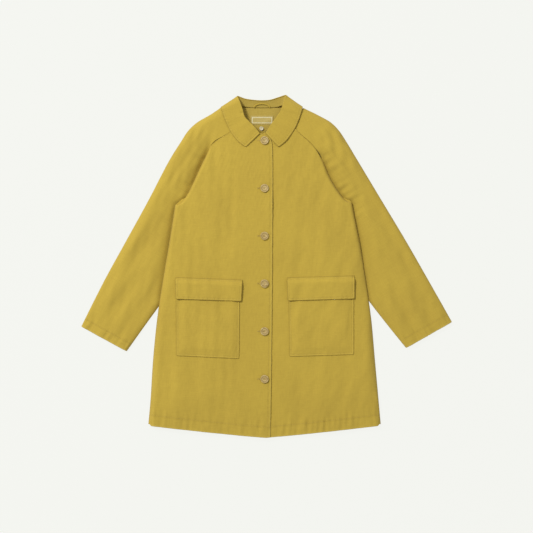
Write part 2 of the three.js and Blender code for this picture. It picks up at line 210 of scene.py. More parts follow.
def grid_normals(grid: Array, closed: bool = False) -> Array:
    """Unit normals of a grid of points: the cross product of its two slopes.

    Args:
        grid: Array (rows, columns, 3).
        closed: True if the last column joins the first.

    Returns:
        Array of the same shape.
    """
    if closed:
        wide = np.concatenate([grid[:, -1:], grid, grid[:, :1]], axis=1)
        across = np.gradient(wide, axis=1)[:, 1:-1]
    else:
        across = np.gradient(grid, axis=1)
    along = np.gradient(grid, axis=0)
    normal = np.cross(across, along)
    return normal / np.maximum(np.linalg.norm(normal, axis=2, keepdims=True), 1e-9)


def quads(rows: int, columns: int, first: int, closed: bool = False, flip: bool = False) -> Array:
    """Faces of a grid of points numbered row by row.

    Args:
        rows: Rows of points.
        columns: Points in a row.
        first: Number of the grid's first point.
        closed: True if the last column joins the first.
        flip: True to turn every face round.

    Returns:
        Array (faces, 4).
    """
    j = np.arange(columns if closed else columns - 1)
    i = np.arange(rows - 1)[:, None]
    k = (j + 1) % columns
    face = np.stack([i * columns + j, i * columns + k, (i + 1) * columns + k, (i + 1) * columns + j], axis=-1)
    face = face.reshape(-1, 4) + first
    return face[:, ::-1] if flip else face


@dataclass(frozen=True)
class Sewing:
    """How a line of machine stitches looks."""

    pitch: float = 3.6
    length: float = 2.7
    width: float = 0.75
    height: float = 0.42


@dataclass
class Cloth:
    """Gathers the solids of one piece and writes them as one mesh."""

    points: list[Array] = field(default_factory=list)
    faces: list[Array] = field(default_factory=list)
    grain: list[Array] = field(default_factory=list)
    wear: list[Array] = field(default_factory=list)
    slots: list[Array] = field(default_factory=list)
    count: int = 0

    def add(self, points: Array, faces: Array, grain: Array, wear: Array, slot: Slot) -> None:
        """Adds points and faces that are numbered within the piece.

        Args:
            points: Array (n, 3) in millimetres.
            faces: Array (m, 3) or (m, 4).
            grain: Array (n, 2), each point's place on the flat cloth in millimetres.
            wear: Array (n,), 1 where an edge is rubbed pale and -1 where shade is painted dark into seams,
                rims and creases.
            slot: Material of the faces.
        """
        self.points.append(points)
        self.faces.append(faces)
        self.grain.append(grain)
        self.wear.append(wear)
        self.slots.append(np.full(len(faces), slot.value))
        self.count += len(points)

    def slab(self, top: Array, thick: Array | float, grain: Array, wear: Array) -> None:
        """A closed sheet under a grid: a second grid one thickness below, and a rounded rim between them.

        Args:
            top: Array (rows, columns, 3), the upper face.
            thick: Thickness, one value or one for each point.
            grain: Array (rows, columns, 2).
            wear: Array (rows, columns).
        """
        rows, columns = top.shape[:2]
        thick = np.broadcast_to(np.asarray(thick, float), (rows, columns))[..., None]
        low = top - grid_normals(top) * thick
        base, size = self.count, rows * columns
        ring = np.concatenate(
            [
                np.arange(columns),
                np.arange(1, rows) * columns + columns - 1,
                (rows - 1) * columns + np.arange(columns - 2, -1, -1),
                np.arange(rows - 2, 0, -1) * columns,
            ]
        )
        inner_row = np.clip(ring // columns, 1, rows - 2)
        inner_column = np.clip(ring % columns, 1, columns - 2)
        flat_top, flat_low = top.reshape(-1, 3), low.reshape(-1, 3)
        out = flat_top[ring] - top[inner_row, inner_column]
        out /= np.maximum(np.linalg.norm(out, axis=1, keepdims=True), 1e-9)
        rim = (flat_top[ring] + flat_low[ring]) / 2 + out * thick.reshape(-1, 1)[ring] * 0.42
        n, k = len(ring), np.arange(len(ring))
        nxt = (k + 1) % n
        rim_at = base + 2 * size
        upper = np.stack([ring[nxt] + base, ring + base, rim_at + k, rim_at + nxt], axis=1)
        lower = np.stack([rim_at + nxt, rim_at + k, ring + base + size, ring[nxt] + base + size], axis=1)
        faces = np.concatenate(
            [quads(rows, columns, base), quads(rows, columns, base + size, flip=True), upper, lower]
        )
        self.add(
            np.concatenate([flat_top, flat_low, rim]),
            faces,
            np.concatenate([grain.reshape(-1, 2)] * 2 + [grain.reshape(-1, 2)[ring]]),
            np.concatenate([wear.ravel(), wear.ravel(), wear.ravel()[ring]]),
            Slot.CLOTH,
        )

    def tube(self, outer: Array, thick: Array | float, grain: Array, wear: Array) -> None:
        """A closed wall round a tube: an inner grid one thickness in, and rounded rims at both ends.

        Args:
            outer: Array (rows, columns, 3); each row is a closed loop and faces out.
            thick: Thickness, one value or one for each point.
            grain: Array (rows, columns, 2).
            wear: Array (rows, columns).
        """
        rows, columns = outer.shape[:2]
        thick = np.broadcast_to(np.asarray(thick, float), (rows, columns))[..., None]
        inner = outer - grid_normals(outer, closed=True) * thick
        rims = []
        for end, beside in ((0, 1), (-1, -2)):
            out = outer[end] - outer[beside]
            out /= np.maximum(np.linalg.norm(out, axis=1, keepdims=True), 1e-9)
            rims.append((outer[end] + inner[end]) / 2 + out * thick[end] * 0.42)
        base, size = self.count, rows * columns
        k = np.arange(columns)
        nxt = (k + 1) % columns
        first, last = base + 2 * size, base + 2 * size + columns
        top = base + (rows - 1) * columns
        faces = [
            quads(rows, columns, base, closed=True),
            quads(rows, columns, base + size, closed=True, flip=True),
            np.stack([base + nxt, base + k, first + k, first + nxt], axis=1),
            np.stack([first + nxt, first + k, base + size + k, base + size + nxt], axis=1),
            np.stack([top + k, top + nxt, last + nxt, last + k], axis=1),
            np.stack([last + k, last + nxt, top + size + nxt, top + size + k], axis=1),
        ]
        flat, worn = grain.reshape(-1, 2), wear.ravel()
        self.add(
            np.concatenate([outer.reshape(-1, 3), inner.reshape(-1, 3), *rims]),
            np.concatenate(faces),
            np.concatenate([flat, flat, grain[0], grain[-1]]),
            np.concatenate([worn, worn, wear[0], wear[-1]]),
            Slot.CLOTH,
        )

    def stitch(self, path: Array, sewing: Sewing, up: Array | None = None, across: bool = False) -> None:
        """Stitches along a path. Each one is a spindle: rings whose size follows half a sine from end to end.

        Args:
            path: Array (n, 3) on the cloth's face.
            sewing: Size of the stitches.
            up: Direction out of the cloth; straight up if it is left out.
            across: True for satin stitches, which lie across the path.
        """
        far = lengths(path)
        count = max(int(far[-1] / sewing.pitch), 1)
        centres = (np.arange(count) + 0.5) / count * far[-1]
        half = sewing.length / 2
        ends = [
            np.stack([np.interp(centres + shift, far, path[:, k]) for k in range(3)], axis=1)
            for shift in (-half, half)
        ]
        middle, along = (ends[0] + ends[1]) / 2, ends[1] - ends[0]
        along /= np.maximum(np.linalg.norm(along, axis=1, keepdims=True), 1e-9)
        out = np.broadcast_to(np.array([0.0, 0.0, 1.0]) if up is None else up, along.shape)
        along = np.cross(out, along) if across else along
        side = np.cross(out, along)
        side /= np.maximum(np.linalg.norm(side, axis=1, keepdims=True), 1e-9)
        lift = np.cross(along, side)
        steps = np.linspace(-1, 1, 5)
        turn = np.linspace(0, 2 * np.pi, 6, endpoint=False)
        size = np.sqrt(np.maximum(1 - (steps * 0.96) ** 2, 0))
        ring = (
            middle[:, None, None]
            + along[:, None, None] * (steps * half)[None, :, None, None]
            + side[:, None, None] * (size[:, None] * np.cos(turn) * sewing.width / 2)[None, ..., None]
            + lift[:, None, None] * (size[:, None] * np.sin(turn) * sewing.height)[None, ..., None]
        )
        rings, sides = len(steps), len(turn)
        one = quads(rings, sides, 0, closed=True, flip=True)
        cap = np.arange(sides)
        caps = np.stack([cap[[0] * 4], cap[1:5], cap[2:6]], axis=1)
        start = (self.count + np.arange(count) * rings * sides)[:, None, None]
        points = ring.reshape(-1, 3)
        grain, wear = points[:, :2], np.zeros(len(points))
        self.add(points, (one + start).reshape(-1, 4), grain, wear, Slot.THREAD)
        end_caps = np.concatenate([caps, (caps + (rings - 1) * sides)[:, ::-1]])
        none = np.zeros((0, 3))
        self.add(none, (end_caps + start).reshape(-1, 3), none[:, :2], none[:, 0], Slot.THREAD)

    def column(self, rings: Array, grain: Array, wear: Array, flip: bool = False) -> None:
        """A closed solid through rings of points, with a fan over the first ring and over the last.

        Args:
            rings: Array (rows, points round, 3).
            grain: Array (points, 2).
            wear: Array (points,).
            flip: True if the rings run the other way round.
        """
        rows, around = rings.shape[:2]
        base, k = self.count, np.arange(around)
        walls = quads(rows, around, base, closed=True)
        fans = [
            np.stack([np.full(around - 2, end), end + k[1:-1], end + k[2:]], axis=1)
            for end in (base, base + (rows - 1) * around)
        ]
        caps = np.concatenate([fans[0][:, ::-1], fans[1]])
        turn = -1 if flip else 1
        self.add(rings.reshape(-1, 3), walls[:, ::turn], grain, wear, Slot.CLOTH)
        none = np.zeros((0, 3))
        self.add(none, caps[:, ::turn], none[:, :2], none[:, 0], Slot.CLOTH)

    def write(self, name: str, materials: tuple[bpy.types.Material, ...]) -> bpy.types.Object:
        """Makes the object.

        Args:
            name: Name of the piece.
            materials: Materials in the order of Slot.

        Returns:
            The new object, at the origin.
        """
        points = np.concatenate(self.points) * MM
        mesh = bpy.data.meshes.new(name)
        mesh.from_pydata(points.tolist(), [], [f for part in self.faces for f in part.tolist()])
        uv = mesh.uv_layers.new(name="grain")
        corner = np.empty(len(mesh.loops), np.int32)
        mesh.loops.foreach_get("vertex_index", corner)
        uv.data.foreach_set("uv", (np.concatenate(self.grain) * MM)[corner].astype(np.float32).ravel())
        # Rubbed wear raises this attribute; painted shade in seams, rims and creases lowers it.
        worn = mesh.attributes.new("wear", "FLOAT", "POINT")
        worn.data.foreach_set("value", np.concatenate(self.wear).astype(np.float32))
        for material in materials:
            mesh.materials.append(material)
        mesh.polygons.foreach_set("material_index", np.concatenate(self.slots).astype(np.int32))
        mesh.polygons.foreach_set("use_smooth", np.ones(len(mesh.polygons), bool))
        mesh.update()
        piece = bpy.data.objects.new(name, mesh)
        bpy.context.scene.collection.objects.link(piece)
        return piece


# ---------------------------------------------------------------------------------------------------------
# Finishes
# ---------------------------------------------------------------------------------------------------------


def linear(colour: str) -> tuple[float, float, float, float]:
    """An sRGB hex colour as linear values with alpha 1."""
    part = [int(colour[i : i + 2], 16) / 255 for i in (1, 3, 5)]
    r, g, b = (c / 12.92 if c <= 0.04045 else ((c + 0.055) / 1.055) ** 2.4 for c in part)
    return r, g, b, 1.0


def add_node(
    material: bpy.types.Material,
    kind: str,
    values: dict[str | int, object] | None = None,
    **settings: object,
) -> bpy.types.Node:
    """Adds one node to a material.

    Args:
        material: Material whose tree gets the node.
        kind: Type of the node.
        values: For each input, a constant or the output socket to link to it.
        settings: Properties of the node.

    Returns:
        The node.
    """
    tree = material.node_tree
    made = tree.nodes.new(kind)
    for name, value in settings.items():
        setattr(made, name, value)
    for name, value in (values or {}).items():
        if isinstance(value, bpy.types.NodeSocket):
            tree.links.new(value, made.inputs[name])
        else:
            made.inputs[name].default_value = value
    return made


def new_material(name: str) -> bpy.types.Material:
    """A material with an empty node tree."""
    material = bpy.data.materials.new(name)
    material.use_nodes = True
    material.node_tree.nodes.clear()
    return material


def mix_colours(
    material: bpy.types.Material, share: bpy.types.NodeSocket, first: object, second: object
) -> bpy.types.NodeSocket:
    """Blends two colours, each a constant or a socket, by a share that runs from 0 to 1."""
    return add_node(material, "ShaderNodeMix", {0: share, 6: first, 7: second}, data_type="RGBA").outputs[2]


def maths(
    material: bpy.types.Material, operation: str, *values: object, clamp: bool = False
) -> bpy.types.NodeSocket:
    """Works out one operation on values that are each a constant or a socket."""
    settings = {"operation": operation, "use_clamp": clamp}
    return add_node(material, "ShaderNodeMath", dict(enumerate(values)), **settings).outputs[0]


def remap(
    material: bpy.types.Material, value: bpy.types.NodeSocket, start: float, stop: float,
    low: float = 0.0, high: float = 1.0,
) -> bpy.types.NodeSocket:
    """Stretches values between start and stop to low and high."""
    spans = {"Value": value, "From Min": start, "From Max": stop, "To Min": low, "To Max": high}
    return add_node(material, "ShaderNodeMapRange", spans).outputs[0]


def noise(
    material: bpy.types.Material, place: bpy.types.NodeSocket, scale: float, detail: float
) -> bpy.types.NodeSocket:
    """A cloudy pattern between 0 and 1."""
    values = {"Vector": place, "Scale": scale, "Detail": detail}
    return add_node(material, "ShaderNodeTexNoise", values).outputs["Fac"]


def bands(
    material: bpy.types.Material, place: bpy.types.NodeSocket, period: float, way: str,
    distortion: float = 0.0,
) -> bpy.types.NodeSocket:
    """Soft bands one period of millimetres apart; the Wave node runs 20 radians a metre at scale 1."""
    scale = 2 * math.pi / (20 * period * MM)
    values = {"Vector": place, "Scale": scale, "Distortion": distortion}
    return add_node(material, "ShaderNodeTexWave", values, bands_direction=way).outputs["Fac"]


def relief(
    material: bpy.types.Material, height: bpy.types.NodeSocket, strength: float, depth: float
) -> bpy.types.NodeSocket:
    """Shading normals of a height pattern whose depth is in millimetres."""
    values = {"Strength": strength, "Distance": depth * MM, "Height": height}
    return add_node(material, "ShaderNodeBump", values).outputs[0]


@dataclass(frozen=True)
class WashedCanvas:
    """Woven cotton canvas, garment-dyed and washed: matt, faintly slubbed, paler where edges rub, with shade
    painted darker into its seams, rims and creases.
    """

    name: str = "washed woven cotton canvas"
    colour: str = "#c0a540"
    deep: str = "#b0953a"
    rubbed: str = "#ccb45c"
    # The seam colour is painted shade, laid where grooves, rims and creases are in shadow.
    seam: str = "#7d6622"
    roughness: float = 0.92
    thread: float = 1.3  # real spacing is near 0.6; drawn coarser so that it shows
    slub: float = 2.2  # width of a thick place in the yarn
    slub_length: float = 26.0
    unevenness: float = 0.6
    depth: float = 0.10
    clouds: float = 9.0  # faded patches to a metre
    rubs: float = 160.0  # rubbed flecks to a metre

    def make(self) -> bpy.types.Material:
        """Builds the material.

        Returns:
            The material.
        """
        m = new_material(self.name)
        grain = add_node(m, "ShaderNodeUVMap", uv_map="grain").outputs["UV"]
        place = add_node(m, "ShaderNodeTexCoord").outputs["Object"]
        warp = bands(m, grain, self.thread, "X", self.unevenness)
        weft = bands(m, grain, self.thread, "Y", self.unevenness)
        weave = maths(m, "MULTIPLY", warp, weft)
        fine, long = 1 / (self.slub * MM), 1 / (self.slub_length * MM)
        slubs = []
        for scale in ((fine, long, 1.0), (long, fine, 1.0)):
            stretched = add_node(m, "ShaderNodeMapping", {"Vector": grain, "Scale": scale}).outputs[0]
            slubs.append(noise(m, stretched, 1.0, 2.0))
        slub = remap(m, maths(m, "ADD", *slubs), 0.7, 1.3)
        fade = remap(m, noise(m, place, self.clouds, 3.0), 0.3, 0.7)
        tone = maths(m, "MULTIPLY_ADD", slub, 0.5, 0.08)
        tone = maths(m, "MULTIPLY_ADD", fade, 0.34, tone)
        body = mix_colours(m, tone, linear(self.deep), linear(self.colour))
        wear = add_node(m, "ShaderNodeAttribute", attribute_name="wear").outputs["Fac"]
        worn = maths(m, "MULTIPLY", wear, noise(m, place, self.rubs, 2.0), clamp=True)
        edge = mix_colours(m, worn, body, linear(self.rubbed))
        # Painted shade: negative values of the attribute mix in the seam colour, darkening stitch grooves,
        # rims and crease valleys where shadow falls.
        painted_shade = maths(m, "MULTIPLY", wear, -0.5, clamp=True)
        seam = mix_colours(m, painted_shade, edge, linear(self.seam))
        height = maths(m, "MULTIPLY_ADD", slub, 0.8, weave)
        shader = add_node(
            m,
            "ShaderNodeBsdfPrincipled",
            {
                "Base Color": seam,
                "Roughness": self.roughness,
                "Specular IOR Level": 0.22,
                "Sheen Weight": 0.06,
                "Sheen Roughness": 0.6,
                "Normal": relief(m, height, 0.55, self.depth),
            },
        )
        add_node(m, "ShaderNodeOutputMaterial", {"Surface": shader.outputs[0]})
        return m


@dataclass(frozen=True)
class SewingThread:
    """Spun polyester sewing thread dyed to match: a tight twist with a faint lustre."""

    name: str = "twisted sewing thread"
    colour: str = "#bfa44a"
    twist: float = 0.8
    depth: float = 0.1

    def make(self) -> bpy.types.Material:
        """Builds the material.

        Returns:
            The material.
        """
        m = new_material(self.name)
        place = add_node(m, "ShaderNodeTexCoord").outputs["Object"]
        ply = bands(m, place, self.twist, "DIAGONAL")
        tone = remap(m, ply, 0.0, 1.0, 0.86, 1.06)
        values = {"Color": linear(self.colour), "Value": tone}
        tint = add_node(m, "ShaderNodeHueSaturation", values).outputs[0]
        normal = relief(m, ply, 0.6, self.depth)
        shader = add_node(
            m, "ShaderNodeBsdfPrincipled", {"Base Color": tint, "Roughness": 0.6, "Normal": normal}
        )
        add_node(m, "ShaderNodeOutputMaterial", {"Surface": shader.outputs[0]})
        return m


@dataclass(frozen=True)
class MouldedPolyester:
    """Moulded polyester resin buttons with a horn-like figure: clouded, satin, slightly translucent."""

    name: str = "moulded polyester, horn figure"
    colour: str = "#b99e5f"
    figure: str = "#8f7337"
    pale: str = "#d2bd85"
    # The next colour is painted shade, laid into the dish groove and on the rim's outer side.
    groove: str = "#7d6530"
    roughness: float = 0.34

    def make(self) -> bpy.types.Material:
        """Builds the material.

        Returns:
            The material.
        """
        m = new_material(self.name)
        place = add_node(m, "ShaderNodeTexCoord").outputs["Object"]
        drawn = add_node(m, "ShaderNodeMapping", {"Vector": place, "Scale": (1.0, 3.2, 1.0)}).outputs[0]
        swirl = add_node(
            m, "ShaderNodeTexNoise", {"Vector": drawn, "Scale": 75.0, "Detail": 4.0, "Distortion": 1.4}
        ).outputs["Fac"]
        ramp = add_node(m, "ShaderNodeValToRGB", {"Fac": swirl})
        ramp.color_ramp.elements[0].position, ramp.color_ramp.elements[1].position = 0.28, 0.74
        ramp.color_ramp.elements[0].color = linear(self.figure)
        ramp.color_ramp.elements[1].color = linear(self.pale)
        ramp.color_ramp.elements.new(0.46).color = linear(self.colour)
        wear = add_node(m, "ShaderNodeAttribute", attribute_name="wear").outputs["Fac"]
        # Painted shade: darker where the attribute is negative, in the dish groove and on the rim's outer
        # side.
        deep = maths(m, "MULTIPLY", wear, -0.8, clamp=True)
        shader = add_node(
            m,
            "ShaderNodeBsdfPrincipled",
            {
                "Base Color": mix_colours(m, deep, ramp.outputs[0], linear(self.groove)),
                "Roughness": self.roughness,
                "IOR": 1.55,
                "Coat Weight": 0.25,
                "Coat Roughness": 0.2,
            },
        )
        add_node(m, "ShaderNodeOutputMaterial", {"Surface": shader.outputs[0]})
        return m


@dataclass(frozen=True)
class WovenLabel:
    """Woven taffeta tape, left blank: fine crosswise ribs with a plain pale border woven in."""

    name: str = "woven taffeta label tape"
    colour: str = "#b9a45a"
    border: str = "#d8cfa4"
    rib: float = 1.0
    depth: float = 0.1
    # The woven border, as shares of half the width and half the height.
    border_at: tuple[float, float] = (0.86, 0.62)
    border_half: tuple[float, float] = (0.035, 0.08)
    border_end: tuple[float, float] = (0.895, 0.70)

    def make(self, middle: Array, half: Array) -> bpy.types.Material:
        """Builds the material.

        Args:
            middle: Middle of the label's face in millimetres.
            half: Half its width and half its height.

        Returns:
            The material.
        """
        m = new_material(self.name)
        place = add_node(m, "ShaderNodeTexCoord").outputs["Object"]
        centred = add_node(
            m,
            "ShaderNodeMapping",
            {"Vector": place, "Location": (-middle[0] / half[0], -middle[1] / half[1], 0.0),
             "Scale": (1 / (half[0] * MM), 1 / (half[1] * MM), 0.0)},
        ).outputs[0]
        axes = add_node(m, "ShaderNodeSeparateXYZ", {"Vector": centred})
        sizes = [maths(m, "ABSOLUTE", axes.outputs[k]) for k in (0, 1)]
        bars = []
        for k, other in ((0, 1), (1, 0)):
            line = maths(m, "COMPARE", sizes[k], self.border_at[k], self.border_half[k])
            within = maths(m, "LESS_THAN", sizes[other], self.border_end[other])
            bars.append(maths(m, "MULTIPLY", line, within))
        tint = mix_colours(m, maths(m, "MAXIMUM", *bars), linear(self.colour), linear(self.border))
        normal = relief(m, bands(m, place, self.rib, "X"), 0.5, self.depth)
        shader = add_node(
            m, "ShaderNodeBsdfPrincipled", {"Base Color": tint, "Roughness": 0.7, "Normal": normal}
        )
        add_node(m, "ShaderNodeOutputMaterial", {"Surface": shader.outputs[0]})
        return m


@dataclass(frozen=True)
class StudioGround:
    """A lit paper ground: nearly even, with only a breath of shadow."""

    name: str = "lit seamless paper"
    colour: str = "#f4f5f0"
    glow: float = 0.965

    def make(self) -> bpy.types.Material:
        """Builds the material.

        Returns:
            The material.
        """
        m = new_material(self.name)
        glow = add_node(m, "ShaderNodeEmission", {"Color": linear(self.colour), "Strength": 1.0})
        paper = add_node(m, "ShaderNodeBsdfDiffuse", {"Color": linear(self.colour)})
        both = add_node(m, "ShaderNodeMixShader", {0: self.glow, 1: paper.outputs[0], 2: glow.outputs[0]})
        add_node(m, "ShaderNodeOutputMaterial", {"Surface": both.outputs[0]})
        return m


@dataclass(frozen=True)
class Finishes:
    """Every material of the coat."""

    canvas: bpy.types.Material
    inside: bpy.types.Material
    thread: bpy.types.Material
    button: bpy.types.Material
    spare: bpy.types.Material

    @classmethod
    def make(cls) -> Finishes:
        """Builds the materials that more than one piece uses."""
        return cls(
            WashedCanvas().make(),
            WashedCanvas(name="washed woven cotton canvas, inside", colour="#b8a04a", deep="#a88f3c").make(),
            SewingThread().make(),
            MouldedPolyester().make(),
            MouldedPolyester(
                name="moulded polyester, pearl", colour="#ddd3b0", figure="#bfb288", pale="#ebe4cb",
                groove="#978a5c", roughness=0.28,
            ).make(),
        )

    @property
    def sewn(self) -> tuple[bpy.types.Material, bpy.types.Material]:
        """Canvas with its stitches."""
        return self.canvas, self.thread

    @property
    def lining(self) -> tuple[bpy.types.Material, bpy.types.Material]:
        """The canvas's inner face with its stitches."""
        return self.inside, self.thread


# ---------------------------------------------------------------------------------------------------------
# The frame
# ---------------------------------------------------------------------------------------------------------


@dataclass
class Frame:
    """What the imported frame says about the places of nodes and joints."""

    joints: dict[str, dict]

    @classmethod
    def load(cls) -> Frame:
        """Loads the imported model."""
        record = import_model()["record"]
        return cls({joint["name"]: joint for joint in record["behaviour"]["joints"]})

    @staticmethod
    def low(node: str) -> Array:
        """Lowest corner of a node, in millimetres."""
        return np.array(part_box(node)[0]) / MM

    @staticmethod
    def high(node: str) -> Array:
        """Highest corner of a node, in millimetres."""
        return np.array(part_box(node)[1]) / MM

    def across(self, joint: str) -> Array:
        """Direction in plan that a joint lifts: the cross product of up and its axis."""
        return np.cross((0.0, 0.0, 1.0), self.joints[joint]["axis"])

    def bend(self, piece: bpy.types.Object, joint: str, before: float, after: float) -> None:
        """Bakes the cloth's placement into its points; the cloth is not bent across the hinge.

        Args:
            piece: The cloth.
            joint: The hinge; not used.
            before: Where the bend would begin, in millimetres past the hinge line; not used.
            after: Where it would end; not used.
        """
        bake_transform(piece)


# ---------------------------------------------------------------------------------------------------------
# The body
# ---------------------------------------------------------------------------------------------------------


@dataclass(frozen=True)
class Lie:
    """How high the coat lies on its back."""

    right: float = 25.9  # outer face of the right front, which laps over the left
    left: float = 22.7
    cloth: float = 1.3
    facing: float = 0.8
    hem_drop: float = 7.0  # the fronts come down towards the hem
    tuck: float = 10.2  # the body's side lies on the sleeve as far up as this
    neck: float = 1.8  # the back of the neck lies on the collar
    side_seam: float = 5.6  # height of the side seam away from the sleeve
    pressed: float = 4.4  # how much lower than the tuck the fold over a sleeve rises

    def crown(self, x: Array, y: Array, side: Side) -> Array:
        """Outer face of a front away from its side: a level with drape waves that die out at the front edge.

        Args:
            x: Positions in millimetres.
            y: Positions in millimetres.
            side: Which front.

        Returns:
            Heights in millimetres.
        """
        level = self.right if side is Side.RIGHT else self.left
        free = smooth(np.abs(x + 4), 34, 90)
        drape = 1.15 * ripple(x, y, 105, 330, 11 + side.value) + 0.42 * ripple(x, y, 34, 90, 21 + side.value)
        crumple = 0.13 * ripple(x, y, 13, 26, 31 + side.value, 14)
        return level + free * drape + crumple - self.hem_drop * smooth(y, -345, -475) * (1 + 0.06 * drape)

    def tucked(self, y: Array) -> Array:
        """How fully a sleeve lies under the body's side at a height, from 0 to 1."""
        return smooth(y, 215, 176) * smooth(y, -172, -120)

    def side_edge(self, y: Array) -> Array:
        """Height of the side seam, or of the fold over a tucked sleeve."""
        return self.side_seam + (self.tuck - self.pressed) * self.tucked(y)


@dataclass(frozen=True)
class Pucker:
    """The short ripples that a line of stitches draws into cloth."""

    depth: float = 0.5
    wavelength: float = 12.0
    reach: float = 30.0

    def at(self, along: Array, away: Array, seed: int) -> Array:
        """Ripples along a seam that fade with the distance from it.

        Args:
            along: Distance along the seam.
            away: Distance from the seam.
            seed: Seed of the ripples.

        Returns:
            Heights in millimetres.
        """
        waves = ripple(along, away, self.wavelength, self.reach * 5, seed, 12)
        return self.depth * waves * bump(away, self.reach)


@dataclass(frozen=True)
class BodyOutline:
    """Plan curves of one half of the body. Each runs the way its name says."""

    side: Side
    hem_to_armpit: Points
    armpit_to_raglan: Points
    raglan_to_neck: Points
    back_raglan: Points

    @classmethod
    def of(cls, side: Side) -> BodyOutline:
        """The outline of one side; the coat lies a little unevenly, so the two differ.

        Args:
            side: Which side.

        Returns:
            The outline.
        """
        if side is Side.RIGHT:
            return cls(
                side,
                ((-324, -433), (-318, -368), (-311, -258), (-300, -148), (-283, -35), (-269, 47),
                 (-257, 122), (-250, 168)),
                ((-250, 168), (-238, 172), (-226, 184), (-212, 207), (-182, 271), (-160, 316)),
                ((-160, 316), (-150, 334), (-137, 346), (-120, 355), (-102, 366), (-84, 384)),
                ((-250, 168), (-222, 196), (-172, 290), (-118, 372), (-66, 437)),
            )
        return cls(
            side,
            ((316, -433), (310, -368), (300, -258), (290, -148), (273, -30), (259, 60), (244, 134),
             (236, 176)),
            ((236, 176), (226, 178), (216, 185), (198, 209), (180, 238), (158, 289)),
            ((158, 289), (148, 304), (139, 318), (127, 334), (107, 353), (94, 364), (78, 382)),
            ((236, 176), (210, 204), (160, 292), (104, 374), (50, 437)),
        )

    def front_edge_of_side(self) -> tuple[Array, Array, Array]:
        """The side of a front, from the hem to the neck.

        Returns:
            The points, for each how far it is a free fold (1) or a flat seam (0), and its rounding radius.
        """
        lines = self.hem_to_armpit, self.armpit_to_raglan, self.raglan_to_neck
        seam, crease, raglan = (curve(points) for points in lines)
        path = np.concatenate([seam, crease[1:], raglan[1:]])
        far = lengths(path)
        armpit = lengths(seam)[-1]
        sleeve = SleeveOutline.of(self.side)
        way, out = sleeve.axes()
        along, across = path @ way, path @ out
        line = sleeve.rotated(sleeve.crease)
        beside = across - np.interp(along, *np.stack(line)[:, np.argsort(line[0])])
        fold = np.where(far < armpit, 1.0, SleeveOutline.valley(self.side, along, beside))
        radius = 24 - 14 * smooth(far, armpit - 190, armpit - 90)
        return path, fold, radius


